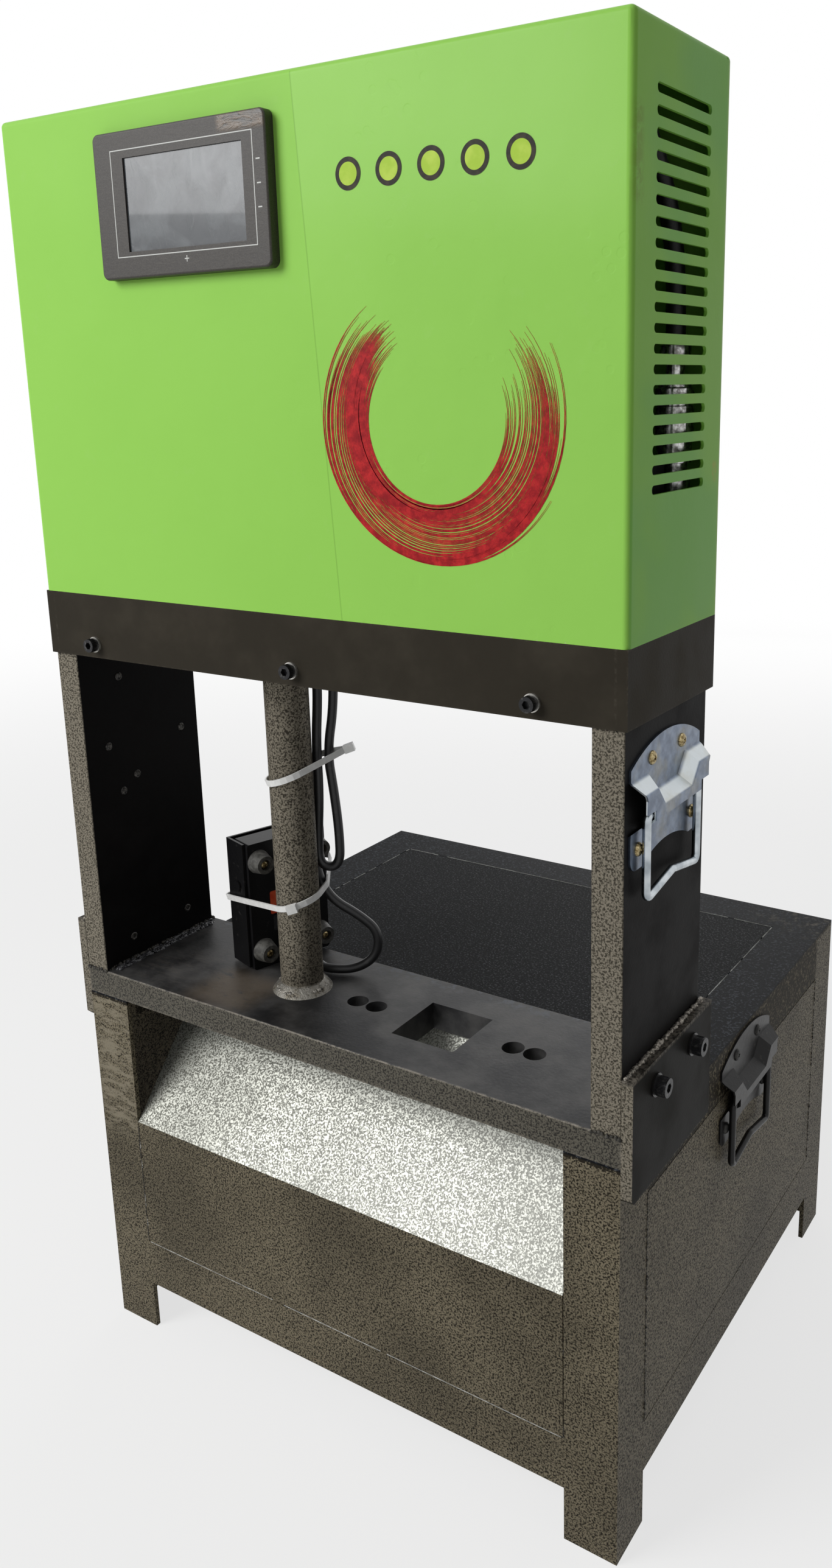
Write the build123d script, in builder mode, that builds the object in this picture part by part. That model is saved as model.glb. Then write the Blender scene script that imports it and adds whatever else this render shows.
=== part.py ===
from build123d import *
import os
from math import cos, pi, radians, sin, tan

os.makedirs("parts", exist_ok=True)

# Sizes in millimetres. X runs to the viewer's right, Y to the back, Z up from the floor.

# Frame and base
frame_width = 495.0         # outside of the uprights and of the base legs
sheet = 2.0                 # sheet of the panels and of the housing
base_depth = 447.0
base_height = 316.0
angle_leg = 42.0            # legs and rails are angle iron
angle_wall = 4.0
foot_height = 44.5          # the legs stand this far below the bottom rails
panel_gap = 0.8             # open seam round each welded-in panel
fold_height = 204.0         # top edge of the front panel, where the chute begins
chute_angle = 49.0
chute_sheet = 2.5
bed_thickness = 22.0
bed_depth = 126.5
upright_thickness = 22.0
upright_depth = 123.0
throat_height = 270.0       # clear height between the bed and the head plate
head_thickness = 22.0
beam_wall = 8.0
beam_height = 49.0
housing_overhang = 2.5      # the head stands out past the uprights on each side
head_depth = 131.0
housing_height = 337.0
bracket_thickness = 8.0
bracket_depth = 129.0
bracket_drop = 25.0         # bracket plate below the top of the base
bracket_height = 89.0

# Work station
station_x = 67.5            # punching axis, right of the middle
station_depth = 64.0        # the same axis, back from the front of the frame
die_opening = 55.0
tool_hole_diameter = 17.0
tool_hole_pitch = 18.0
tool_hole_spread = 142.0    # middle of one pair of holes to the middle of the other

# Hydraulic cylinder
bore_diameter = 80.0
tube_wall = 12.0
tube_length = 212.0
gland_thickness = 22.0
cap_thickness = 28.0
piston_thickness = 30.0
rod_diameter = 45.0
running_clearance = 0.05
tool_holder_diameter = 72.0
tool_holder_height = 16.0
tool_holder_lift = 10.0     # its top stands this far up in the head plate's recess
holder_clearance = 1.5
ram_stroke = 130.0

# Post
post_diameter = 34.0
post_wall = 3.0
post_x = -66.5
post_depth = 61.6
weld_leg = 7.0

# Operator panel
panel_width = 153.0
panel_height = 93.0
panel_proud = 8.0
panel_corner = 5.0
panel_x = -71.0
panel_drop = 67.5           # top of the housing down to the middle of the panel
screen_width = 105.5
screen_height = 59.0
screen_shift = 4.0          # the screen sits this far right of the panel's middle
screen_recess = 1.2
module_depth = 26.0

# Vent slots
slot_count = 20
slot_length = 76.0
slot_height = 5.4
slot_pitch = 11.26
slot_top = 34.7             # top of the housing down to the first slot's middle
slot_middle = 67.0          # slot's middle, back from the front of the housing

# Fasteners
m8_shank = 8.0
m8_head = 13.0
m8_head_height = 8.0
m8_washer = 16.0
m8_socket = 6.0
m6_shank = 6.0
m6_head = 10.0
m6_head_height = 6.0
m6_washer = 12.0
m6_socket = 5.0
washer_thickness = 1.5
washer_play = 0.2
clearance_hole = 0.4        # a plain bolt hole is this much wider each side
thread_fit = 0.05           # a shank sits this far inside its hole
bracket_bolt_spacing = 60.0
bracket_bolt_rise = 24.0    # above the top of the bed
beam_bolt_rise = 10.5       # above the lower edge of the beam
beam_bolt_places = (-199.5, -4.5, 186.0)

# Chest handles
handle_sheet = 1.5
handle_width = 104.0
bail_wire = 5.5
bail_half_span = 39.0
bail_drop = 54.0
bail_rise = 7.0             # the middle of the grip stands this far above its ends
bail_pivot_out = 6.2        # pivot axis out from the wall
bail_tail = 10.0
upper_handle_back = 58.0    # pivot, back from the frame's front
upper_handle_drop = 57.5    # pivot, below the beam
lower_handle_drop = 50.0    # pivot, below the top of the base
screw_head = 9.0
screw_head_height = 1.7
screw_shank = 4.8
screw_length = 9.0

# Foot switch
switch_width = 78.0
switch_height = 110.0
switch_depth = 22.0
pedal_sheet = 2.0
pedal_gap = 6.0
side_clearance = 0.4
pedal_pin_diameter = 5.0
pedal_pin_rise = 72.0
pedal_pin_depth = 14.0
switch_turn = 72.0          # the switch stands turned by this many degrees from X
switch_corner = (-120.0, 61.0)
foot_inset = 12.0
relief_place = (40.0, 16.0)      # cable entry on the base plate
relief_diameter = 12.0
relief_length = 10.0
foot_height_rubber = 12.0

# Cable
cable_diameter = 7.5
tie_width = 4.8
tie_thickness = 1.3

# Planes and levels that the pieces share
front = -(sheet + base_depth - panel_proud) / 2
frame_front = front + sheet
frame_rear = frame_front + base_depth
half_frame = frame_width / 2
half_head = half_frame + housing_overhang
bed_bottom = base_height
bed_top = bed_bottom + bed_thickness
beam_bottom = bed_top + throat_height
beam_top = beam_bottom + beam_height
head_top = beam_top + housing_height
station_y = frame_front + station_depth
post_y = frame_front + post_depth
rail_top = foot_height + angle_leg
side_rail_bottom = base_height - angle_leg
handle_upper = (upper_handle_back, beam_bottom - upper_handle_drop)
handle_lower = (base_depth / 2 + 0.5, base_height - lower_handle_drop)
inner_x = half_frame - angle_leg
leg_rear_y = frame_rear - angle_leg
leg_front_y = frame_front + angle_leg


def facing_front(y):
    """A sketch plane square to Y; extrusions from it run towards the viewer."""
    return Plane.XZ.offset(-y)


# Base: four angle-iron legs whose lower ends are the feet
for name, side, depth in (
    ("leg_front_left", -1, 1),
    ("leg_front_right", 1, 1),
    ("leg_rear_left", -1, -1),
    ("leg_rear_right", 1, -1),
):
    corner_y = frame_front if depth > 0 else frame_rear
    leg_top = base_height - angle_wall
    with BuildPart() as leg:
        with BuildSketch() as section:
            with Locations((side * (half_frame - angle_leg / 2), corner_y + depth * angle_wall / 2)):
                Rectangle(angle_leg, angle_wall)
            with Locations((side * (half_frame - angle_wall / 2), corner_y + depth * angle_leg / 2)):
                Rectangle(angle_wall, angle_leg)
        extrude(amount=leg_top)
    leg.part.label = name
    export_step(leg.part, f"parts/{name}.step")

# Bottom rails: angle iron between the legs, with the lower flange turned inwards
rail_middle_y = (leg_front_y + leg_rear_y) / 2
rail_length_y = leg_rear_y - leg_front_y
for name, wall_y, flange_y in (
    ("bottom_rail_front", frame_front + angle_wall / 2, frame_front + angle_leg / 2),
    ("bottom_rail_rear", frame_rear - angle_wall / 2, frame_rear - angle_leg / 2),
):
    with BuildPart() as rail:
        with Locations((0, wall_y, foot_height + angle_leg / 2)):
            Box(2 * inner_x, angle_wall, angle_leg)
        with Locations((0, flange_y, foot_height + angle_wall / 2)):
            Box(2 * inner_x, angle_leg, angle_wall)
    rail.part.label = name
    export_step(rail.part, f"parts/{name}.step")
for name, side in (("bottom_rail_left", -1), ("bottom_rail_right", 1)):
    with BuildPart() as rail:
        with Locations((side * (half_frame - angle_wall / 2), rail_middle_y, foot_height + angle_leg / 2)):
            Box(angle_wall, rail_length_y, angle_leg)
        with Locations((side * (half_frame - angle_leg / 2), rail_middle_y, foot_height + angle_wall / 2)):
            Box(angle_leg, rail_length_y, angle_wall)
    rail.part.label = name
    export_step(rail.part, f"parts/{name}.step")

# Chest handles: screw places, as offsets from the pivot along Y and Z
upper_screws = ((-22.5, 32.5), (22.5, 32.5))
lower_screws = ((-41.0, -21.0), (41.0, -21.0))
handle_screw_offsets = upper_screws + lower_screws

# Top rails: the top flange covers the legs, the side flange hangs between them
for name, side in (("top_rail_left", -1), ("top_rail_right", 1)):
    with BuildPart() as rail:
        with Locations((
            side * (half_frame - angle_leg / 2),
            (frame_front + frame_rear) / 2,
            base_height - angle_wall / 2,
        )):
            Box(angle_leg, base_depth, angle_wall)
        with Locations((
            side * (half_frame - angle_wall / 2),
            rail_middle_y,
            base_height - angle_leg / 2,
        )):
            Box(angle_wall, rail_length_y, angle_leg)
        with BuildSketch(Plane.YZ.offset(side * half_frame)):
            for dy, dz in upper_screws:
                with Locations((frame_front + handle_lower[0] + dy, handle_lower[1] + dz)):
                    Circle(screw_shank / 2 + thread_fit)
        extrude(amount=-side * angle_wall, mode=Mode.SUBTRACT)
    rail.part.label = name
    export_step(rail.part, f"parts/{name}.step")
with BuildPart() as top_rail_rear:
    with Locations((0, frame_rear - angle_leg / 2, base_height - angle_wall / 2)):
        Box(2 * inner_x, angle_leg, angle_wall)
    with Locations((0, frame_rear - angle_wall / 2, base_height - angle_leg / 2)):
        Box(2 * inner_x, angle_wall, angle_leg)
top_rail_rear.part.label = "top_rail_rear"
export_step(top_rail_rear.part, "parts/top_rail_rear.step")

# Side panels, let in between the legs and the rails
panel_bottom_z = rail_top + panel_gap
panel_top_z = side_rail_bottom - panel_gap
panel_middle_z = (panel_bottom_z + panel_top_z) / 2
for name, side in (("side_panel_left", -1), ("side_panel_right", 1)):
    with BuildPart() as side_panel:
        with Locations((side * (half_frame - sheet / 2), rail_middle_y, panel_middle_z)):
            Box(sheet, rail_length_y - 2 * panel_gap, panel_top_z - panel_bottom_z)
        with BuildSketch(Plane.YZ.offset(side * half_frame)):
            for dy, dz in lower_screws:
                with Locations((frame_front + handle_lower[0] + dy, handle_lower[1] + dz)):
                    Circle(screw_shank / 2 + thread_fit)
        extrude(amount=-side * sheet, mode=Mode.SUBTRACT)
    side_panel.part.label = name
    export_step(side_panel.part, f"parts/{name}.step")

with BuildPart() as rear_panel:
    with Locations((0, frame_rear - sheet / 2, panel_middle_z)):
        Box(2 * (inner_x - panel_gap), sheet, panel_top_z - panel_bottom_z)
rear_panel.part.label = "rear_panel"
export_step(rear_panel.part, "parts/rear_panel.step")

# Front panel and the chute that starts at its top edge and rises under the bed
with BuildPart() as front_panel:
    with Locations((0, frame_front + sheet / 2, (panel_bottom_z + fold_height) / 2)):
        Box(2 * (inner_x - panel_gap), sheet, fold_height - panel_bottom_z)
front_panel.part.label = "front_panel"
export_step(front_panel.part, "parts/front_panel.step")

chute_rise = bed_bottom - panel_gap - fold_height
chute_run = chute_rise / tan(radians(chute_angle))
chute_drop = chute_sheet / cos(radians(chute_angle))
with BuildPart() as chute_plate:
    with BuildSketch(Plane.YZ.offset(-(inner_x - panel_gap))):
        with BuildLine():
            Polyline(
                (frame_front, fold_height),
                (frame_front + chute_run, fold_height + chute_rise),
                (frame_front + chute_run + chute_drop / tan(radians(chute_angle)), fold_height + chute_rise),
                (frame_front + chute_drop / tan(radians(chute_angle)), fold_height),
                close=True,
            )
        make_face()
    extrude(amount=2 * (inner_x - panel_gap))
chute_plate.part.label = "chute_plate"
export_step(chute_plate.part, "parts/chute_plate.step")

# Top panel: sheet let in flush, its front edge under the bed plate
top_panel_front = frame_front + chute_run + chute_drop / tan(radians(chute_angle)) + panel_gap
top_panel_rear = leg_rear_y - panel_gap
with BuildPart() as top_panel:
    with Locations((0, (top_panel_front + top_panel_rear) / 2, base_height - sheet / 2)):
        Box(2 * (inner_x - panel_gap), top_panel_rear - top_panel_front, sheet)
top_panel.part.label = "top_panel"
export_step(top_panel.part, "parts/top_panel.step")

# Bed plate with the die opening and two pairs of tool holes
with BuildPart() as bed_plate:
    with Locations((0, frame_front + bed_depth / 2, bed_bottom + bed_thickness / 2)):
        Box(frame_width, bed_depth, bed_thickness)
    chamfer(bed_plate.edges().filter_by(Axis.X).group_by(Axis.Z)[-1], 0.8)
    with BuildSketch(Plane.XY.offset(bed_top)):
        with Locations((station_x, station_y)):
            Rectangle(die_opening, die_opening)
            with GridLocations(tool_hole_spread, 0, 2, 1):
                with GridLocations(tool_hole_pitch, 0, 2, 1):
                    Circle(tool_hole_diameter / 2)
    extrude(amount=-bed_thickness, mode=Mode.SUBTRACT)
bed_plate.part.label = "bed_plate"
export_step(bed_plate.part, "parts/bed_plate.step")

# Uprights: thick plate on edge, drilled for the bracket bolts and the handle screws
bracket_bolt_z = bed_top + bracket_bolt_rise
bracket_middle_y = frame_front + bracket_depth / 2
bolt_reach = 15.0           # the bolt goes this far into the upright
for name, side in (("upright_left", -1), ("upright_right", 1)):
    with BuildPart() as upright:
        with Locations((
            side * (half_frame - upright_thickness / 2),
            frame_front + upright_depth / 2,
            bed_top + throat_height / 2,
        )):
            Box(upright_thickness, upright_depth, throat_height)
        chamfer(upright.edges().filter_by(Axis.Z), 0.6)
        with BuildSketch(Plane.YZ.offset(side * half_frame)):
            with Locations((bracket_middle_y, bracket_bolt_z)):
                with GridLocations(bracket_bolt_spacing, 0, 2, 1):
                    Circle(m8_shank / 2 + thread_fit)
        extrude(amount=-side * bolt_reach, mode=Mode.SUBTRACT)
        with BuildSketch(Plane.YZ.offset(side * half_frame)):
            for dy, dz in handle_screw_offsets:
                with Locations((frame_front + handle_upper[0] + dy, handle_upper[1] + dz)):
                    Circle(screw_shank / 2 + thread_fit)
        extrude(amount=-side * screw_length, mode=Mode.SUBTRACT)
    upright.part.label = name
    export_step(upright.part, f"parts/{name}.step")

# Bracket plates tie the uprights to the base legs
bracket_bottom = base_height - bracket_drop
for name, side in (("bracket_left", -1), ("bracket_right", 1)):
    with BuildPart() as bracket:
        with Locations((
            side * (half_frame + bracket_thickness / 2),
            bracket_middle_y,
            bracket_bottom + bracket_height / 2,
        )):
            Box(bracket_thickness, bracket_depth, bracket_height)
        chamfer(bracket.edges().filter_by(Axis.X).group_by(Axis.Z)[0].sort_by(Axis.Y)[0], 4.0)
        with BuildSketch(Plane.YZ.offset(side * half_frame)):
            with Locations((bracket_middle_y, bracket_bolt_z)):
                with GridLocations(bracket_bolt_spacing, 0, 2, 1):
                    Circle(m8_shank / 2 + clearance_hole)
        extrude(amount=side * bracket_thickness, mode=Mode.SUBTRACT)
    bracket.part.label = name
    export_step(bracket.part, f"parts/{name}.step")

# Head plate: carries the cylinder; the rod and the switch cable pass through it
head_plate_width = 2 * (half_head - beam_wall)
head_plate_front = front + beam_wall
head_plate_rear = front + head_depth - beam_wall
gland_x = -46.1
gland_depth = 93.1
gland_y = frame_front + gland_depth
gland_thread = 12.0
flange_size = 104.0
flange_bolt_spread = 84.0
flange_bolt_grip = 16.0      # thread in the head plate
beam_bolt_length = 22.0
beam_bolt_z = beam_bottom + beam_bolt_rise
with BuildPart() as head_plate:
    with Locations((0, (head_plate_front + head_plate_rear) / 2, beam_bottom + head_thickness / 2)):
        Box(head_plate_width, head_plate_rear - head_plate_front, head_thickness)
    with BuildSketch(Plane.XY.offset(beam_bottom)):
        with Locations((station_x, station_y)):
            Circle(rod_diameter / 2 + 1.5)
        with Locations((gland_x, gland_y)):
            Circle(gland_thread / 2 + thread_fit)
    extrude(amount=head_thickness, mode=Mode.SUBTRACT)
    with BuildSketch(Plane.XY.offset(beam_bottom)):
        with Locations((station_x, station_y)):
            Circle(tool_holder_diameter / 2 + holder_clearance)
    extrude(amount=tool_holder_lift + holder_clearance, mode=Mode.SUBTRACT)
    with BuildSketch(Plane.XY.offset(beam_bottom + head_thickness)):
        with Locations((station_x, station_y)):
            with GridLocations(flange_bolt_spread, flange_bolt_spread, 2, 2):
                Circle(m8_shank / 2 + thread_fit)
    extrude(amount=-flange_bolt_grip, mode=Mode.SUBTRACT)
    with BuildSketch(facing_front(head_plate_front)):
        for bolt_x in beam_bolt_places:
            with Locations((bolt_x, beam_bolt_z)):
                Circle(m6_shank / 2 + thread_fit)
    extrude(amount=-(beam_bolt_length - beam_wall), mode=Mode.SUBTRACT)
head_plate.part.label = "head_plate"
export_step(head_plate.part, "parts/head_plate.step")

# Beam: four flat bars round the head plate, the front and rear ones between the ends
for name, bar_y, drilled in (
    ("beam_front", front + beam_wall / 2, True),
    ("beam_rear", front + head_depth - beam_wall / 2, False),
):
    with BuildPart() as beam:
        with Locations((0, bar_y, beam_bottom + beam_height / 2)):
            Box(head_plate_width, beam_wall, beam_height)
        if drilled:
            with BuildSketch(facing_front(front + beam_wall)):
                for bolt_x in beam_bolt_places:
                    with Locations((bolt_x, beam_bolt_z)):
                        Circle(m6_shank / 2 + clearance_hole)
            extrude(amount=beam_wall, mode=Mode.SUBTRACT)
    beam.part.label = name
    export_step(beam.part, f"parts/{name}.step")
for name, side in (("beam_end_left", -1), ("beam_end_right", 1)):
    with BuildPart() as beam_end:
        with Locations((
            side * (half_head - beam_wall / 2),
            front + head_depth / 2,
            beam_bottom + beam_height / 2,
        )):
            Box(beam_wall, head_depth, beam_height)
    beam_end.part.label = name
    export_step(beam_end.part, f"parts/{name}.step")

# Cap screws: four through the brackets into the uprights, three through the beam into the
# head plate, and four that hold the cylinder's flange down on it
washer_seat_x = half_frame + bracket_thickness
bracket_bolt_places = [
    (bracket_middle_y + along, bracket_bolt_z)
    for along in (-bracket_bolt_spacing / 2, bracket_bolt_spacing / 2)
]
with BuildPart() as cap_screws:
    for side in (-1, 1):
        head_seat = side * (washer_seat_x + washer_thickness)
        with BuildSketch(Plane.YZ.offset(head_seat)):
            with Locations(*bracket_bolt_places):
                Circle(m8_head / 2)
        extrude(amount=side * m8_head_height)
        with BuildSketch(Plane.YZ.offset(head_seat + side * m8_head_height)):
            with Locations(*bracket_bolt_places):
                RegularPolygon(m8_socket / 2, 6, major_radius=False)
        extrude(amount=-side * m8_head_height / 2, mode=Mode.SUBTRACT)
        with BuildSketch(Plane.YZ.offset(head_seat)):
            with Locations(*bracket_bolt_places):
                Circle(m8_shank / 2)
        extrude(amount=-side * (washer_thickness + bracket_thickness + bolt_reach - 1.0))
    beam_seat_y = front - washer_thickness
    with BuildSketch(facing_front(beam_seat_y)):
        for bolt_x in beam_bolt_places:
            with Locations((bolt_x, beam_bolt_z)):
                Circle(m6_head / 2)
    extrude(amount=m6_head_height)
    with BuildSketch(facing_front(beam_seat_y - m6_head_height)):
        for bolt_x in beam_bolt_places:
            with Locations((bolt_x, beam_bolt_z)):
                RegularPolygon(m6_socket / 2, 6, major_radius=False)
    extrude(amount=-m6_head_height / 2, mode=Mode.SUBTRACT)
    with BuildSketch(facing_front(beam_seat_y)):
        for bolt_x in beam_bolt_places:
            with Locations((bolt_x, beam_bolt_z)):
                Circle(m6_shank / 2)
    extrude(amount=-(washer_thickness + beam_bolt_length - 1.0))
    flange_seat_z = beam_bottom + head_thickness + gland_thickness
    for radius, height in (
        (m8_head / 2, m8_head_height),
        (m8_shank / 2, -(gland_thickness + flange_bolt_grip - 1.0)),
    ):
        with BuildSketch(Plane.XY.offset(flange_seat_z)):
            with Locations((station_x, station_y)):
                with GridLocations(flange_bolt_spread, flange_bolt_spread, 2, 2):
                    Circle(radius)
        extrude(amount=height)
    with BuildSketch(Plane.XY.offset(flange_seat_z + m8_head_height)):
        with Locations((station_x, station_y)):
            with GridLocations(flange_bolt_spread, flange_bolt_spread, 2, 2):
                RegularPolygon(m8_socket / 2, 6, major_radius=False)
    extrude(amount=-m8_head_height / 2, mode=Mode.SUBTRACT)
cap_screws.part.label = "cap_screws"
export_step(cap_screws.part, "parts/cap_screws.step")

# Plain washers under the cap screws
with BuildPart() as washers:
    for side in (-1, 1):
        with BuildSketch(Plane.YZ.offset(side * washer_seat_x)):
            with Locations(*bracket_bolt_places):
                Circle(m8_washer / 2)
                Circle(m8_shank / 2 + washer_play, mode=Mode.SUBTRACT)
        extrude(amount=side * washer_thickness)
    with BuildSketch(facing_front(front)):
        for bolt_x in beam_bolt_places:
            with Locations((bolt_x, beam_bolt_z)):
                Circle(m6_washer / 2)
                Circle(m6_shank / 2 + washer_play, mode=Mode.SUBTRACT)
    extrude(amount=washer_thickness)
washers.part.label = "washers"
export_step(washers.part, "parts/washers.step")

# Post: round tube between the bed and the head plate, with its weld fillet at the foot
with BuildPart() as post_tube:
    with BuildSketch(Plane.XY.offset(bed_top)):
        with Locations((post_x, post_y)):
            Circle(post_diameter / 2)
    extrude(amount=throat_height)
    with BuildSketch(Plane.XZ.offset(-post_y)):
        with BuildLine():
            weld_inner = post_x + post_diameter / 2 - 0.5
            Line((weld_inner, bed_top), (post_x + post_diameter / 2 + weld_leg, bed_top))
            ThreePointArc(
                (post_x + post_diameter / 2 + weld_leg, bed_top),
                (post_x + post_diameter / 2 + weld_leg * 0.55, bed_top + weld_leg * 0.55),
                (post_x + post_diameter / 2, bed_top + weld_leg),
            )
            Polyline(
                (post_x + post_diameter / 2, bed_top + weld_leg),
                (weld_inner, bed_top + weld_leg),
                (weld_inner, bed_top),
            )
        make_face()
    revolve(axis=Axis((post_x, post_y, bed_top), (0, 0, 1)))
    with BuildSketch(Plane.XY.offset(bed_top)):
        with Locations((post_x, post_y)):
            Circle(post_diameter / 2 - post_wall)
    extrude(amount=throat_height, mode=Mode.SUBTRACT)
post_tube.part.label = "post_tube"
export_step(post_tube.part, "parts/post_tube.step")

# Housing: folded sheet over the head, open at the back and below
housing_depth = head_depth - sheet
fold_radius = 4.0
flange_width = 12.0
panel_z = head_top - panel_drop
module_width = panel_width - 16.0
module_height = panel_height - 16.0
cutout_clearance = 0.5
with BuildPart() as housing:
    with Locations((0, front + housing_depth / 2, beam_top + housing_height / 2)):
        Box(2 * half_head, housing_depth, housing_height)
    outer_edges = housing.edges().filter_by(Axis.Z).group_by(Axis.Y)[0]
    top_edges = housing.edges().group_by(Axis.Z)[-1].sort_by(Axis.Y)[:-1]
    fillet(list(outer_edges) + list(top_edges), fold_radius)
    open_faces = [housing.faces().sort_by(Axis.Y)[-1], housing.faces().sort_by(Axis.Z)[0]]
    offset(amount=-sheet, openings=open_faces)
    for side in (-1, 1):
        with Locations((
            side * (half_head - flange_width / 2),
            front + housing_depth - sheet / 2,
            beam_top + (housing_height - sheet) / 2,
        )):
            Box(flange_width, sheet, housing_height - sheet)
    with BuildSketch(facing_front(front + sheet)):
        with Locations((panel_x, panel_z)):
            Rectangle(module_width + 2 * cutout_clearance, module_height + 2 * cutout_clearance)
    extrude(amount=sheet, mode=Mode.SUBTRACT)
    with BuildSketch(Plane.YZ.offset(-half_head)):
        for slot in range(slot_count):
            with Locations((front + slot_middle, head_top - slot_top - slot * slot_pitch)):
                SlotOverall(slot_length, slot_height)
    extrude(amount=2 * half_head, mode=Mode.SUBTRACT)
housing.part.label = "housing"
export_step(housing.part, "parts/housing.step")

# Rear cover, held by small screws into the housing's flanges
cover_screw_rises = (30.0, housing_height / 2, housing_height - 30.0)
cover_screw_x = half_head - flange_width / 2
cover_screw_diameter = 4.0
with BuildPart() as rear_cover:
    with Locations((0, front + head_depth - sheet / 2, beam_top + housing_height / 2)):
        Box(2 * half_head, sheet, housing_height)
    fillet(rear_cover.edges().filter_by(Axis.Y).group_by(Axis.Z)[-1], fold_radius)
    with BuildSketch(facing_front(front + head_depth)):
        for side in (-1, 1):
            for rise in cover_screw_rises:
                with Locations((side * cover_screw_x, beam_top + rise)):
                    Circle(cover_screw_diameter / 2 + thread_fit)
    extrude(amount=sheet, mode=Mode.SUBTRACT)
rear_cover.part.label = "rear_cover"
export_step(rear_cover.part, "parts/rear_cover.step")
with BuildPart() as cover_screws:
    for side in (-1, 1):
        for rise in cover_screw_rises:
            with BuildSketch(facing_front(front + head_depth)):
                with Locations((side * cover_screw_x, beam_top + rise)):
                    Circle(4.0)
            extrude(amount=-2.2)
            with BuildSketch(facing_front(front + head_depth)):
                with Locations((side * cover_screw_x, beam_top + rise)):
                    Circle(cover_screw_diameter / 2)
            extrude(amount=sheet)
cover_screws.part.label = "cover_screws"
export_step(cover_screws.part, "parts/cover_screws.step")

# Operator panel: moulded bezel with its module behind the cut-out, and the screen in it
screen_x = panel_x + screen_shift
with BuildPart() as operator_panel:
    with BuildSketch(facing_front(front)):
        with Locations((panel_x, panel_z)):
            RectangleRounded(panel_width, panel_height, panel_corner)
    extrude(amount=panel_proud)
    rim = operator_panel.edges().group_by(Axis.Y)[0]
    fillet(rim, 1.6)
    with BuildSketch(facing_front(front)):
        with Locations((panel_x, panel_z)):
            Rectangle(module_width, module_height)
    extrude(amount=-module_depth)
    with BuildSketch(facing_front(front - panel_proud)):
        with Locations((screen_x, panel_z)):
            Rectangle(screen_width, screen_height)
    extrude(amount=-(screen_recess + 1.0), mode=Mode.SUBTRACT)
operator_panel.part.label = "operator_panel"
export_step(operator_panel.part, "parts/operator_panel.step")
with BuildPart() as screen:
    with BuildSketch(facing_front(front - panel_proud + screen_recess)):
        with Locations((screen_x, panel_z)):
            Rectangle(screen_width, screen_height)
    extrude(amount=-1.0)
screen.part.label = "screen"
export_step(screen.part, "parts/screen.step")

# Cylinder: barrel with its foot flange, seated on the head plate
barrel_bottom = beam_bottom + head_thickness
barrel_radius = bore_diameter / 2 + tube_wall
with BuildPart() as cylinder_barrel:
    with BuildSketch(Plane.XY.offset(barrel_bottom)):
        with Locations((station_x, station_y)):
            RectangleRounded(flange_size, flange_size, 8.0)
            with GridLocations(flange_bolt_spread, flange_bolt_spread, 2, 2):
                Circle(m8_shank / 2 + clearance_hole, mode=Mode.SUBTRACT)
    extrude(amount=gland_thickness)
    with BuildSketch(Plane.XY.offset(barrel_bottom)):
        with Locations((station_x, station_y)):
            Circle(barrel_radius)
    extrude(amount=tube_length)
    with BuildSketch(Plane.XY.offset(barrel_bottom + gland_thickness)):
        with Locations((station_x, station_y)):
            Circle(bore_diameter / 2)
    extrude(amount=tube_length - gland_thickness, mode=Mode.SUBTRACT)
    with BuildSketch(Plane.XY.offset(barrel_bottom)):
        with Locations((station_x, station_y)):
            Circle(rod_diameter / 2 + running_clearance)
    extrude(amount=gland_thickness, mode=Mode.SUBTRACT)
cylinder_barrel.part.label = "cylinder_barrel"
export_step(cylinder_barrel.part, "parts/cylinder_barrel.step")

cap_bottom = barrel_bottom + tube_length
with BuildPart() as cylinder_cap:
    with BuildSketch(Plane.XY.offset(cap_bottom)):
        with Locations((station_x, station_y)):
            Circle(barrel_radius)
    extrude(amount=cap_thickness)
    chamfer(cylinder_cap.edges().group_by(Axis.Z)[-1], 2.0)
cylinder_cap.part.label = "cylinder_cap"
export_step(cylinder_cap.part, "parts/cylinder_cap.step")

# Ram: piston and rod turned in one, drawn up to the top of its stroke
piston_top = cap_bottom - 2.0
holder_top = beam_bottom + tool_holder_lift
with BuildPart() as ram:
    with BuildSketch(Plane.XY.offset(piston_top - piston_thickness)):
        with Locations((station_x, station_y)):
            Circle(bore_diameter / 2 - running_clearance)
    extrude(amount=piston_thickness)
    with BuildSketch(Plane.XY.offset(holder_top)):
        with Locations((station_x, station_y)):
            Circle(rod_diameter / 2)
    extrude(amount=piston_top - piston_thickness - holder_top)
ram.part.label = "ram"
export_step(ram.part, "parts/ram.step")

# Tool holder: flange on the rod's end, with four tapped holes for a punch
tool_pitch_circle = 56.0
holder_hole_diameter = 6.8  # tapped M8
punch_socket_diameter = 20.0
punch_socket_depth = 12.0
with BuildPart() as tool_holder:
    with BuildSketch(Plane.XY.offset(holder_top)):
        with Locations((station_x, station_y)):
            Circle(tool_holder_diameter / 2)
            with PolarLocations(tool_pitch_circle / 2, 4, start_angle=45):
                Circle(holder_hole_diameter / 2, mode=Mode.SUBTRACT)
    extrude(amount=-tool_holder_height)
    with BuildSketch(Plane.XY.offset(holder_top - tool_holder_height)):
        with Locations((station_x, station_y)):
            Circle(punch_socket_diameter / 2)
    extrude(amount=punch_socket_depth, mode=Mode.SUBTRACT)
    chamfer(tool_holder.edges().group_by(Axis.Z)[0].filter_by(GeomType.CIRCLE).sort_by(SortBy.RADIUS)[-1], 1.0)
tool_holder.part.label = "tool_holder"
export_step(tool_holder.part, "parts/tool_holder.step")

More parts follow.
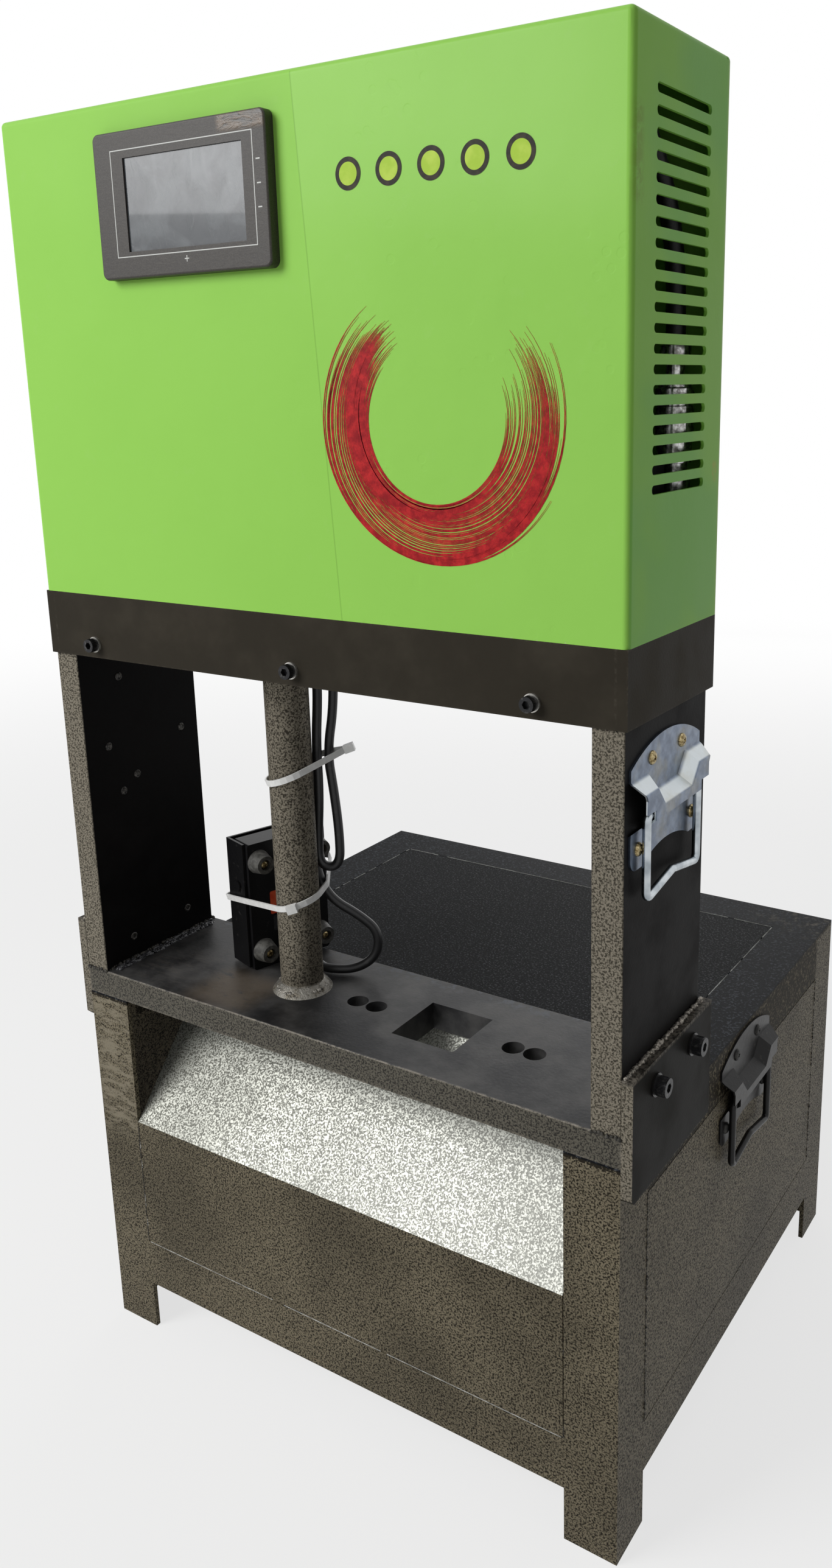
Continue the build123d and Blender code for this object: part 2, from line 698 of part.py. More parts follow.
# Port block: drilled bar from the barrel out to the coupler by the right-hand vents
port_block_height = 30.0
port_block_depth = 36.0
port_block_top = head_top - slot_top - (slot_count - 1) * slot_pitch + port_block_height / 2
coupler_x = half_head - 34.0
with BuildPart() as port_block:
    with BuildSketch(Plane.XY.offset(port_block_top)):
        with BuildLine():
            inner_end = station_x + barrel_radius - 2.0
            Polyline(
                (inner_end, station_y - port_block_depth / 2),
                (coupler_x + 17.0, station_y - port_block_depth / 2),
                (coupler_x + 17.0, station_y + port_block_depth / 2),
                (inner_end, station_y + port_block_depth / 2),
                close=True,
            )
        make_face()
        with Locations((station_x, station_y)):
            Circle(barrel_radius, mode=Mode.SUBTRACT)
    extrude(amount=-port_block_height)
    with BuildSketch(Plane.XY.offset(port_block_top)):
        with Locations((coupler_x, station_y)):
            Circle(6.0 + thread_fit)
    extrude(amount=-14.0, mode=Mode.SUBTRACT)
port_block.part.label = "port_block"
export_step(port_block.part, "parts/port_block.step")

# Quick coupler: turned body with hexagons and knurled sleeve rings, standing on the block
coupler_steps = (
    (10.5, 12.0), (13.5, 9.0), (11.5, 5.0), (15.0, 8.0), (13.0, 3.0), (15.0, 8.0),
    (13.0, 3.0), (15.0, 8.0), (11.0, 10.0),
)
with BuildPart() as quick_coupler:
    with BuildSketch(Plane.XY.offset(port_block_top)):
        with Locations((coupler_x, station_y)):
            Circle(6.0)
    extrude(amount=-13.0)
    level = port_block_top
    for radius, height in coupler_steps:
        with BuildSketch(Plane.XY.offset(level)):
            with Locations((coupler_x, station_y)):
                Circle(radius)
        extrude(amount=height)
        level += height
    with BuildSketch(Plane.XY.offset(level)):
        with Locations((coupler_x, station_y)):
            RegularPolygon(12.0, 6, major_radius=False)
    extrude(amount=12.0)
    coupler_top = level + 12.0
quick_coupler.part.label = "quick_coupler"
export_step(quick_coupler.part, "parts/quick_coupler.step")

# Power pack: oil tank on the head plate with the pump motor on its lid
tank_gap = 12.0             # tank to the beam's left bar
tank_size = (200.0, 84.0, 120.0)
tank_x = -(half_head - beam_wall - tank_gap - tank_size[0] / 2)
tank_y = front + head_depth - beam_wall - tank_size[1] / 2 - 1.0
motor_shift = -35.0         # pump motor, right of the tank's middle
motor_x = tank_x + motor_shift
tank_wall = 3.0
filler_shift = 55.0         # filler neck, likewise
filler_diameter = 32.0
filler_height = 12.0
with BuildPart() as oil_tank:
    with Locations((tank_x, tank_y, barrel_bottom + tank_size[2] / 2)):
        Box(*tank_size)
    fillet(oil_tank.edges().filter_by(Axis.Z), 6.0)
    with Locations((tank_x, tank_y, barrel_bottom + tank_size[2] / 2)):
        Box(*(size - 2 * tank_wall for size in tank_size), mode=Mode.SUBTRACT)
    with BuildSketch(Plane.XY.offset(barrel_bottom + tank_size[2])):
        with Locations((tank_x + filler_shift, tank_y)):
            Circle(filler_diameter / 2)
    extrude(amount=filler_height)
    with BuildSketch(Plane.XY.offset(barrel_bottom + tank_size[2] - tank_wall)):
        with Locations((tank_x + filler_shift, tank_y)):
            Circle(filler_diameter / 2 - 3.0)
    extrude(amount=tank_wall + filler_height, mode=Mode.SUBTRACT)
oil_tank.part.label = "oil_tank"
export_step(oil_tank.part, "parts/oil_tank.step")
motor_bottom = barrel_bottom + tank_size[2]
motor_height = 150.0
with BuildPart() as pump_motor:
    with BuildSketch(Plane.XY.offset(motor_bottom)):
        with Locations((motor_x, tank_y)):
            RectangleRounded(80.0, 80.0, 8.0)
    extrude(amount=12.0)
    with BuildSketch(Plane.XY.offset(motor_bottom + 12.0)):
        with Locations((motor_x, tank_y)):
            Circle(37.0)
            with PolarLocations(37.0, 16):
                Rectangle(4.0, 2.5)
    extrude(amount=motor_height - 32.0)
    with BuildSketch(Plane.XY.offset(motor_bottom + motor_height - 20.0)):
        with Locations((motor_x, tank_y)):
            Circle(39.0)
    extrude(amount=20.0)
pump_motor.part.label = "pump_motor"
export_step(pump_motor.part, "parts/pump_motor.step")

# Pressure hose: out of the tank's lid, over the cylinder and down to the coupler
hose_diameter = 13.0
hose_start_x = tank_x + 15.0
hose_top_z = head_top - 34.0
hose_bend = 55.0
hose_start = (hose_start_x, tank_y, motor_bottom)
hose_end = (coupler_x, station_y, coupler_top)
with BuildPart() as pressure_hose:
    with BuildLine() as hose_path:
        FilletPolyline(
            hose_start,
            (hose_start_x, tank_y, hose_top_z),
            (coupler_x, station_y, hose_top_z),
            hose_end,
            radius=hose_bend,
        )
    with BuildSketch(Plane(origin=hose_start, z_dir=(0, 0, 1))):
        Circle(hose_diameter / 2)
    sweep()
pressure_hose.part.label = "pressure_hose"
export_step(pressure_hose.part, "parts/pressure_hose.step")

# Chest handles: a stamped plate with a raised bridge, and a wire bail that swings under it
bridge_inner = bail_pivot_out + bail_wire / 2 + 0.35
bridge_outer = bridge_inner + handle_sheet
bridge_bottom = -9.0
ear_bottom = bail_wire / 2 + 1.0
bridge_ends = 22.5
bridge_dip = 9.5
plate_top = 45.5
plate_shoulder = 31.5
plate_bottom = -34.0
half_plate = handle_width / 2
bridge_reach = 30.0         # sketch of the bridge runs past the plate's sides by this
ramp = 40.0                 # slope of the bridge's edges, from square


def bridge_outline(inset):
    """Corners of the raised bridge, drawn in by inset on its upper and lower edges."""
    far = half_plate + bridge_reach
    return (
        (-far, bridge_bottom + inset),
        (far, bridge_bottom + inset),
        (far, bridge_ends - inset),
        (29.0 + inset * 0.4, bridge_ends - inset),
        (18.0 + inset * 0.4, bridge_dip - inset),
        (-18.0 - inset * 0.4, bridge_dip - inset),
        (-29.0 - inset * 0.4, bridge_ends - inset),
        (-far, bridge_ends - inset),
    )


def wall_plane(side, out, place):
    """A sketch plane on the machine's side, with its origin at a handle's pivot."""
    return Plane(
        origin=(side * (half_frame + out), frame_front + place[0], place[1]),
        x_dir=(0, side, 0),
        z_dir=(side, 0, 0),
    )


for level_name, place in (("upper", handle_upper), ("lower", handle_lower)):
    for side_name, side in (("left", -1), ("right", 1)):
        plate_name = f"handle_plate_{level_name}_{side_name}"
        with BuildPart() as handle_plate:
            with BuildSketch(wall_plane(side, 0.0, place)):
                Rectangle(handle_width + 20.0, 100.0)
            extrude(amount=handle_sheet)
            with BuildSketch(wall_plane(side, 0.0, place)):
                with BuildLine():
                    Polyline(*bridge_outline(-3.0), close=True)
                make_face()
            extrude(amount=bridge_outer, taper=ramp)
            with BuildSketch(wall_plane(side, 0.0, place)):
                with BuildLine():
                    Polyline(*bridge_outline(-1.2), close=True)
                make_face()
            extrude(amount=bridge_inner, taper=ramp, mode=Mode.SUBTRACT)
            with BuildSketch(wall_plane(side, -1.0, place)):
                with BuildLine():
                    ThreePointArc(
                        (half_plate, plate_shoulder),
                        (0, plate_top),
                        (-half_plate, plate_shoulder),
                    )
                    Polyline(
                        (-half_plate, plate_shoulder),
                        (-half_plate, bridge_ends),
                        (-half_plate + 5.0, bridge_ends - 10.0),
                        (-half_plate + 5.0, ear_bottom),
                        (-half_plate, ear_bottom),
                        (-half_plate, plate_bottom + 8.0),
                    )
                    ThreePointArc(
                        (-half_plate, plate_bottom + 8.0),
                        (-half_plate + 2.5, plate_bottom + 2.3),
                        (-half_plate + 8.0, plate_bottom),
                    )
                    Line((-half_plate + 8.0, plate_bottom), (-half_plate + 16.0, plate_bottom))
                    ThreePointArc(
                        (-half_plate + 16.0, plate_bottom),
                        (0, plate_bottom + 8.0),
                        (half_plate - 16.0, plate_bottom),
                    )
                    Line((half_plate - 16.0, plate_bottom), (half_plate - 8.0, plate_bottom))
                    ThreePointArc(
                        (half_plate - 8.0, plate_bottom),
                        (half_plate - 2.5, plate_bottom + 2.3),
                        (half_plate, plate_bottom + 8.0),
                    )
                    Polyline(
                        (half_plate, plate_bottom + 8.0),
                        (half_plate, ear_bottom),
                        (half_plate - 5.0, ear_bottom),
                        (half_plate - 5.0, bridge_ends - 10.0),
                        (half_plate, bridge_ends),
                        (half_plate, plate_shoulder),
                    )
                make_face()
            extrude(amount=bridge_outer + 3.0, mode=Mode.INTERSECT)
            notch_width = half_plate - bail_half_span + bail_wire / 2 + 1.2
            with BuildSketch(wall_plane(side, handle_sheet + 0.2, place)):
                for end in (-1, 1):
                    with Locations((end * (half_plate - notch_width / 2), (ear_bottom + bridge_bottom - 12.0) / 2)):
                        Rectangle(notch_width, ear_bottom - bridge_bottom + 12.0)
            extrude(amount=bridge_outer + 3.0, mode=Mode.SUBTRACT)
            with BuildSketch(wall_plane(side, 0.0, place)):
                for dy, dz in handle_screw_offsets:
                    with Locations((dy, dz)):
                        Circle(screw_shank / 2 + 0.15)
            extrude(amount=handle_sheet, mode=Mode.SUBTRACT)
        handle_plate.part.label = plate_name
        export_step(handle_plate.part, f"parts/{plate_name}.step")

        bail_name = f"handle_bail_{level_name}_{side_name}"
        bail_plane = wall_plane(side, bail_pivot_out, place)
        tail_end = bail_half_span - bail_tail
        with BuildPart() as bail:
            with BuildLine(bail_plane) as bail_path:
                FilletPolyline(
                    (-tail_end, 0),
                    (-bail_half_span, 0),
                    (-bail_half_span, -bail_drop),
                    (0, -bail_drop + bail_rise),
                    (bail_half_span, -bail_drop),
                    (bail_half_span, 0),
                    (tail_end, 0),
                    radius=4.0,
                )
            with BuildSketch(Plane(
                origin=bail_path.line @ 0,
                z_dir=bail_path.line % 0,
            )):
                Circle(bail_wire / 2)
            sweep()
        bail.part.label = bail_name
        export_step(bail.part, f"parts/{bail_name}.step")

# Handle screws: low round heads with a cross recess left to their finish
with BuildPart() as handle_screws:
    for place in (handle_upper, handle_lower):
        for side in (-1, 1):
            for dy, dz in handle_screw_offsets:
                with BuildSketch(wall_plane(side, handle_sheet, place)):
                    with Locations((dy, dz)):
                        Circle(screw_head / 2)
                extrude(amount=screw_head_height, taper=28)
                with BuildSketch(wall_plane(side, handle_sheet, place)):
                    with Locations((dy, dz)):
                        Circle(screw_shank / 2)
                extrude(amount=-(screw_length - 0.5))
handle_screws.part.label = "handle_screws"
export_step(handle_screws.part, "parts/handle_screws.step")

# Foot switch, stood on its end behind the post with its rubber feet to the front
switch_u = (cos(radians(switch_turn)), sin(radians(switch_turn)), 0.0)
switch_n = (sin(radians(switch_turn)), -cos(radians(switch_turn)), 0.0)
switch_origin = (switch_corner[0], frame_front + switch_corner[1], bed_top)


def switch_plane(out):
    """A plane on the switch: x along its width, y up, z out of its base plate."""
    return Plane(
        origin=tuple(c + out * n for c, n in zip(switch_origin, switch_n)),
        x_dir=switch_u,
        z_dir=switch_n,
    )


side_gap = pedal_sheet + side_clearance
base_left = side_gap
base_right = switch_width - side_gap
foot_places = [
    (along, up)
    for along in (foot_inset, switch_width - foot_inset)
    for up in (16.0, switch_height - 16.0)
]
with BuildPart() as foot_switch:
    with BuildSketch(switch_plane(-switch_depth)):
        with Locations((switch_width / 2, switch_height / 2)):
            RectangleRounded(base_right - base_left, switch_height, 2.0)
    extrude(amount=switch_depth)
    for start, run, radius in (
        (-0.6, switch_width + 1.2, pedal_pin_diameter / 2),
        (-1.6, 1.3, 4.2),
        (switch_width + 0.3, 1.3, 4.2),
    ):
        along = tuple(
            c + start * u - pedal_pin_depth * n
            for c, u, n in zip(switch_origin, switch_u, switch_n)
        )
        pin_origin = (along[0], along[1], along[2] + pedal_pin_rise)
        with BuildSketch(Plane(origin=pin_origin, z_dir=switch_u)):
            Circle(radius)
        extrude(amount=run)
    with BuildSketch(switch_plane(0.0)):
        with Locations(relief_place):
            Circle(relief_diameter / 2)
    extrude(amount=relief_length, taper=8)
    with BuildSketch(switch_plane(0.0)):
        for along, up in foot_places:
            with Locations((along, up)):
                Circle(2.0 + thread_fit)
    extrude(amount=-8.0, mode=Mode.SUBTRACT)
foot_switch.part.label = "foot_switch"
export_step(foot_switch.part, "parts/foot_switch.step")

pedal_face = -(switch_depth + pedal_gap)
pedal_bottom = 2.0
with BuildPart() as foot_pedal:
    with BuildSketch(switch_plane(pedal_face)):
        with Locations((switch_width / 2, (pedal_bottom + switch_height) / 2)):
            Rectangle(switch_width, switch_height - pedal_bottom)
    extrude(amount=-pedal_sheet)
    with BuildSketch(switch_plane(pedal_face)):
        for middle in (pedal_sheet / 2, switch_width - pedal_sheet / 2):
            with Locations((middle, (pedal_bottom + switch_height) / 2)):
                Rectangle(pedal_sheet, switch_height - pedal_bottom)
    extrude(amount=pedal_gap + switch_depth - 4.0)
    pin_start = tuple(
        c - 5.0 * u - pedal_pin_depth * n
        for c, u, n in zip(switch_origin, switch_u, switch_n)
    )
    with BuildSketch(Plane(
        origin=(pin_start[0], pin_start[1], pin_start[2] + pedal_pin_rise),
        z_dir=switch_u,
    )):
        Circle(pedal_pin_diameter / 2 + running_clearance)
    extrude(amount=switch_width + 10.0, mode=Mode.SUBTRACT)
foot_pedal.part.label = "foot_pedal"
export_step(foot_pedal.part, "parts/foot_pedal.step")

with BuildPart() as rubber_feet:
    for along, up in foot_places:
        with BuildSketch(switch_plane(0.0)):
            with Locations((along, up)):
                Circle(10.0)
        extrude(amount=foot_height_rubber, taper=12)
        with BuildSketch(switch_plane(foot_height_rubber)):
            with Locations((along, up)):
                Circle(4.4)
        extrude(amount=-4.0, mode=Mode.SUBTRACT)
        with BuildSketch(switch_plane(0.0)):
            with Locations((along, up)):
                Circle(2.0 + thread_fit)
        extrude(amount=foot_height_rubber, mode=Mode.SUBTRACT)
rubber_feet.part.label = "rubber_feet"
export_step(rubber_feet.part, "parts/rubber_feet.step")

with BuildPart() as feet_screws:
    for along, up in foot_places:
        with BuildSketch(switch_plane(foot_height_rubber - 4.0)):
            with Locations((along, up)):
                Circle(3.8)
        extrude(amount=2.6)
        with BuildSketch(switch_plane(foot_height_rubber - 4.0)):
            with Locations((along, up)):
                Circle(2.0)
        extrude(amount=-(foot_height_rubber - 4.0 + 6.0))
feet_screws.part.label = "feet_screws"
export_step(feet_screws.part, "parts/feet_screws.step")

# Cable gland in the head plate
gland_bottom = beam_bottom - 12.0
gland_nut = 5.0
with BuildPart() as cable_gland:
    with BuildSketch(Plane.XY.offset(beam_bottom)):
        with Locations((gland_x, gland_y)):
            Circle(gland_thread / 2)
    extrude(amount=head_thickness - 4.0)
    with BuildSketch(Plane.XY.offset(beam_bottom)):
        with Locations((gland_x, gland_y)):
            RegularPolygon(8.5, 6, major_radius=False)
    extrude(amount=-gland_nut)
    with BuildSketch(Plane.XY.offset(beam_bottom - gland_nut)):
        with Locations((gland_x, gland_y)):
            Circle(7.5)
    extrude(amount=-(beam_bottom - gland_nut - gland_bottom), taper=12)
cable_gland.part.label = "cable_gland"
export_step(cable_gland.part, "parts/cable_gland.step")

# Foot switch cable: X, distance back from the frame's front, and height of each point
cable_route = (
    (gland_x, gland_depth, gland_bottom),
    (gland_x, gland_depth, 570.0),
    (-51.0, 87.7, 530.0),
    (-46.5, 88.1, 500.0),
    (-43.5, 88.9, 464.0),
    (-44.0, 88.5, 436.0),
    (-60.0, 82.0, 436.0),
    (-60.0, 82.5, 462.0),
    (-54.3, 79.8, 500.0),
    (-56.5, 81.4, 538.0),
    (-54.2, 83.4, 575.0),
    (-54.2, 83.4, 599.0),
    (-72.4, 86.2, 599.0),
    (-72.4, 86.2, 570.0),
    (-68.6, 83.8, 530.0),
    (-66.1, 83.6, 495.0),
    (-67.8, 84.4, 460.0),
    (-67.1, 87.1, 425.0),
    (-57.3, 92.1, 404.0),
    (-38.9, 102.4, 391.0),
    (-25.3, 110.8, 376.0),
    (-27.0, 109.8, 354.5),
    (-41.4, 100.8, 343.0),
    (-58.9, 91.0, 342.5),
    (-70.0, 88.0, 344.0),
    (-82.0, 90.7, 354.0),
    (-98.1, 95.9, 354.0),
)
cable_points = [Vector(x, frame_front + back, z) for x, back, z in cable_route]
cable_radii = []
for before, point, after in zip(cable_points, cable_points[1:], cable_points[2:]):
    run_in = point - before
    run_out = after - point
    half_turn = radians(run_in.get_angle(run_out)) / 2
    cable_radii.append(0.45 * min(run_in.length, run_out.length) / tan(half_turn))
print("cable radii", [round(radius, 1) for radius in cable_radii])
with BuildPart() as foot_switch_cable:
    with BuildLine() as cable_line:
        FilletPolyline(*cable_points, radius=cable_radii)
    with BuildSketch(Plane(origin=cable_points[0], z_dir=cable_points[1] - cable_points[0])):
        Circle(cable_diameter / 2)
    sweep()
cable_length = cable_line.wires()[0].length
cable_section = pi * cable_diameter ** 2 / 4
print("cable length", round(cable_length, 1))
print("cable volume over section times length", round(
    foot_switch_cable.part.volume / (cable_section * cable_length), 4
))
foot_switch_cable.part.label = "foot_switch_cable"
export_step(foot_switch_cable.part, "parts/foot_switch_cable.step")

# Cable ties: flat bands drawn round what they hold, each on a plane that rises to the right
view_right = Vector(0.849, 0.528, 0.0)
view_back = Vector(-0.528, 0.849, 0.0)
tie_slack = 0.4
strand_play = 0.6           # more room for a strand that leans
strand_room = cable_diameter / 2 + tie_slack + strand_play
tie_head = (8.0, 5.5)
tie_head_height = 6.4


def tie_plane(level, rise):
    """A plane through the post's axis at this level, rising by rise degrees to the right."""
    along = view_right * cos(radians(rise)) + Vector(0, 0, sin(radians(rise)))
    return Plane(origin=(post_x, post_y, level), x_dir=along, z_dir=along.cross(view_back))


def on_tie(rise, x, y):
    """Where an upright line through (x, y) meets the tie's plane, in the plane's own axes."""
    offset = Vector(x - post_x, y - post_y, 0)
    return (offset.dot(view_right) / cos(radians(rise)), offset.dot(view_back))


switch_corners = [
    (
        switch_origin[0] + along * switch_u[0] + out * switch_n[0],
        switch_origin[1] + along * switch_u[1] + out * switch_n[1],
    )
    for along in (0.0, switch_width)
    for out in (0.0, pedal_face - pedal_sheet)
]
upper_strands = [cable_points[2], cable_points[9], cable_points[14]]
lower_strands = [cable_points[6], cable_points[17]]
tie_specs = (
    (519.0, 20.0, [((p.X, p.Y), strand_room) for p in upper_strands], (42.0, 8.0), (47.8, 8.0)),
    (
        415.0,
        16.0,
        [((p.X, p.Y), strand_room) for p in lower_strands]
        + [(corner, 0.6 + tie_slack) for corner in switch_corners],
        None,
        (-1.5, -22.0),
    ),
)
def turn(a, b, c):
    """Positive where the way from a by b to c turns left."""
    return (b[0] - a[0]) * (c[1] - a[1]) - (b[1] - a[1]) * (c[0] - a[0])


def band_outline(circles, grow):
    """Corners of the taut outline round the circles, each grown by grow."""
    rim = sorted(
        (x + (radius + grow) * cos(radians(angle)), y + (radius + grow) * sin(radians(angle)))
        for x, y, radius in circles
        for angle in range(0, 360, 15)
    )
    outline = []
    for points in (rim, rim[::-1]):
        chain = []
        for point in points:
            while len(chain) > 1 and turn(chain[-2], chain[-1], point) <= 1e-6:
                chain.pop()
            chain.append(point)
        outline += chain[:-1]
    return outline


with BuildPart() as cable_ties:
    for level, rise, held, loop_end, head_place in tie_specs:
        tilt_room = tie_width / 2 * sin(radians(rise))
        circles = [(0.0, 0.0, post_diameter / 2 / cos(radians(rise)) + tie_slack + tilt_room)]
        circles += [(*on_tie(rise, x, y), radius + tilt_room) for (x, y), radius in held]
        if loop_end:
            circles.append((*loop_end, 2.0))
        with BuildSketch(tie_plane(level, rise)):
            with BuildLine():
                Polyline(*band_outline(circles, tie_thickness), close=True)
            make_face()
            with BuildLine():
                Polyline(*band_outline(circles, 0.0), close=True)
            make_face(mode=Mode.SUBTRACT)
        extrude(amount=tie_width / 2, both=True)
        with BuildSketch(tie_plane(level, rise)):
            with Locations(head_place):
                Rectangle(*tie_head)
        extrude(amount=tie_head_height / 2, both=True)
cable_ties.part.label = "cable_ties"
export_step(cable_ties.part, "parts/cable_ties.step")
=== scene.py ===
import bmesh
import bpy
import random
from math import cos, pi, radians, sin
from mathutils import Matrix, Vector


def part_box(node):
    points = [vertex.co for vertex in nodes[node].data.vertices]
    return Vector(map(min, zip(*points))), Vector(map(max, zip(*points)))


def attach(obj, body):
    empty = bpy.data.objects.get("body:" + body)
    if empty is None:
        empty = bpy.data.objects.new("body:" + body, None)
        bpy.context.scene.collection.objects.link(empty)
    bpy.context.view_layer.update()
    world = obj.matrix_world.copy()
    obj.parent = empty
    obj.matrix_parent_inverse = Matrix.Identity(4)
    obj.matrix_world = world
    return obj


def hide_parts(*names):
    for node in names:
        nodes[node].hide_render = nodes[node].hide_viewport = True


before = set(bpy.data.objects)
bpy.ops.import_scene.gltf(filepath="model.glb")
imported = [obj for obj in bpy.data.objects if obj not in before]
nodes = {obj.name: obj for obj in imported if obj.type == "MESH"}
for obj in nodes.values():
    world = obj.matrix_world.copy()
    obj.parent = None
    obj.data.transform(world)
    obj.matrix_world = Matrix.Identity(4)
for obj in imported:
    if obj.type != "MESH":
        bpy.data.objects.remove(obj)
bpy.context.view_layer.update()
scene = bpy.context.scene
scene.view_settings.view_transform = "Standard"
print("frame loaded,", len(nodes), "nodes")

# main planes of the machine, in metres
planes = {
    "bed": 0.3380,  # top of the bed plate
    "base": 0.3160,  # top of the cabinet
    "baseFront": -0.2185,
    "hoodFront": -0.2205,
    "hoodSide": 0.2500,
    "hoodTop": 0.9940,
    "panelFront": -0.2285,
}

photoCamera = {
    "place": (0.5547, -0.8573, 0.8048),
    "right": (0.8491, 0.5279, -0.0165),
    "up": (-0.1138, 0.2134, 0.9703),
    "back": (0.5158, -0.8220, 0.2413),
    "lens": 28.698,
    "sensor": 36,
    "shift": (-0.04648, -0.05492),
    "clip": 0.05,
}


def makeCamera(settings):
    data = bpy.data.cameras.new("photoCamera")
    data.lens, data.sensor_width = settings["lens"], settings["sensor"]
    data.shift_x, data.shift_y = settings["shift"]
    data.clip_start = settings["clip"]
    camera = bpy.data.objects.new("photoCamera", data)
    scene.collection.objects.link(camera)
    axes = Matrix((settings["right"], settings["up"], settings["back"])).transposed()
    camera.matrix_world = Matrix.Translation(settings["place"]) @ axes.to_4x4()
    scene.camera = camera


makeCamera(photoCamera)


# node trees: one method adds any node, and sums are written as plain expressions
class Wire:
    def __init__(self, tree, socket):
        self.tree, self.socket = tree, socket

    def sum(self, operation, *others):
        return self.tree.add("ShaderNodeMath", dict(enumerate((self, *others))), operation=operation)

    def __add__(self, other):
        return self.sum("ADD", other)

    def __sub__(self, other):
        return self.sum("SUBTRACT", other)

    def __rsub__(self, other):
        return self.tree.add("ShaderNodeMath", {0: other, 1: self}, operation="SUBTRACT")

    def __mul__(self, other):
        return self.sum("MULTIPLY", other)

    def __pow__(self, other):
        return self.sum("POWER", other)

    __radd__, __rmul__ = __add__, __mul__

    def lesser(self, other):
        return self.sum("MINIMUM", other)

    def greater(self, other):
        return self.sum("MAXIMUM", other)

    def distance(self, place):
        return (self - place).sum("ABSOLUTE")

    def fade(self, low, high):  # 0 at low, 1 at high, smooth between
        return self.tree.add("ShaderNodeMapRange", {0: self, 1: low, 2: high}, interpolation_type="SMOOTHSTEP")

    def output(self, name):
        return Wire(self.tree, self.socket.node.outputs[name])


class Tree:
    def __init__(self, tree):
        self.tree = tree

    def add(self, kind, sockets=None, out=0, **settings):
        node = self.tree.nodes.new(kind)
        for name, value in settings.items():
            setattr(node, name, value)
        for name, value in (sockets or {}).items():
            if isinstance(value, Wire):
                self.tree.links.new(value.socket, node.inputs[name])
            else:
                node.inputs[name].default_value = value
        return Wire(self, node.outputs[out]) if node.outputs else node


class Finish(Tree):
    inputs = {"colour": "Base Color", "rough": "Roughness", "metal": "Metallic", "coat": "Coat Weight",
              "coatRough": "Coat Roughness", "specular": "Specular IOR Level", "normal": "Normal"}

    def __init__(self, name, **fixed):
        self.material = bpy.data.materials.new(name)
        self.material.use_nodes = True
        super().__init__(self.material.node_tree)
        self.shader = self.tree.nodes["Principled BSDF"]
        self.place = self.add("ShaderNodeTexCoord").output("Object")
        self.x = self.add("ShaderNodeSeparateXYZ", {0: self.place})
        self.y, self.z = self.x.output("Y"), self.x.output("Z")
        self.set(**fixed)

    def set(self, **values):
        for key, value in values.items():
            socket = self.shader.inputs[self.inputs[key]]
            if isinstance(value, Wire):
                self.tree.links.new(value.socket, socket)
            elif isinstance(value, tuple):
                socket.default_value = (*value, 1)
            else:
                socket.default_value = value

    def current(self, key):  # what already feeds one of the shader's sockets
        return Wire(self, self.shader.inputs[self.inputs[key]].links[0].from_socket)

    def noise(self, size, detail=3, rough=0.5, twist=0.0, stretch=None):
        place = self.place
        if stretch:
            place = self.add("ShaderNodeMapping", {0: place, "Scale": stretch})
        values = {"Vector": place, "Scale": 1 / size, "Detail": detail, "Roughness": rough, "Distortion": twist}
        return self.add("ShaderNodeTexNoise", values)

    def cells(self, size):
        return self.add("ShaderNodeTexVoronoi", {"Vector": self.place, "Scale": 1 / size})

    def mix(self, mask, low, high, strength=1.0):  # two tones or wires; the strength scales the second tone
        values = {"Factor": mask, 6: low if isinstance(low, Wire) else linear(low)}
        values[7] = high if isinstance(high, Wire) else linear(high, strength)
        return self.add("ShaderNodeMix", values, 2, data_type="RGBA")

    def ground(self, mask, low, high, strength=1.0):
        self.set(colour=self.mix(mask, low, high, strength))

    def lay(self, mask, tone, strength=1.0):  # over the colour so far
        self.ground(mask, self.current("colour"), tone, strength)

    def bump(self, height, depth, strength=1.0, below=None):
        values = {"Height": height, "Distance": depth, "Strength": strength}
        if below:
            values["Normal"] = below
        return self.add("ShaderNodeBump", values)

    def near(self, axis, place, width):  # 1 at the place, 0 past width from it
        return 1 - axis.distance(place).fade(0, width)

    def front(self, plane):  # 1 on the face at the front plane, 0 just behind it
        return 1 - self.y.fade(plane + 0.0003, plane + 0.0007)

    def region(self, low, high, soft):
        mask = None
        for axis, least, most in zip((self.x, self.y, self.z), low, high):
            if least is None:
                continue
            part = axis.fade(least - soft, least + soft) * (1 - axis.fade(most - soft, most + soft))
            mask = part if mask is None else mask * part
        return mask

    def edges(self, box, width):  # 1 along the edges of a box, 0 past width from them
        low, high = box
        gaps = [(axis - a).lesser(b - axis) for axis, a, b in zip((self.x, self.y, self.z), low, high)]
        nearest, other = gaps[0].lesser(gaps[1]), gaps[0].greater(gaps[1])
        return 1 - nearest.greater(other.lesser(gaps[2])).fade(0, width)


def linear(tone, strength=1.0):  # tones are written as 0-255 sRGB
    values = [part / 255 for part in tone]
    values = [part / 12.92 if part <= 0.04045 else ((part + 0.055) / 1.055) ** 2.4 for part in values]
    return (*(part * strength for part in values), 1)


def toned(name, low, high, patch, fade, grain=None, rough=0.5, uneven=0.0, **fixed):
    # two tones mixed by patches of noise over a finer grain, whose last value is its depth
    finish = Finish(name, **fixed)
    patches = finish.noise(*patch)
    finish.ground(patches.fade(*fade), low, high)
    finish.set(rough=rough + patches * uneven if uneven else rough)
    if grain:
        *shape, depth = grain
        finish.set(normal=finish.bump(finish.noise(*shape), depth))
    return finish


def plainFinish(name, low, high, size, metal, rough, depth):
    grain = (size, 4, 0.6)
    finish = toned(name, low, high, grain, (0.38, 0.66), (*grain, depth), rough, 0.12, metal=metal, specular=0.2)
    return finish.material


def dress(finish, *names):
    for name in names:
        nodes[name].data.materials.clear()
        nodes[name].data.materials.append(finish.material)


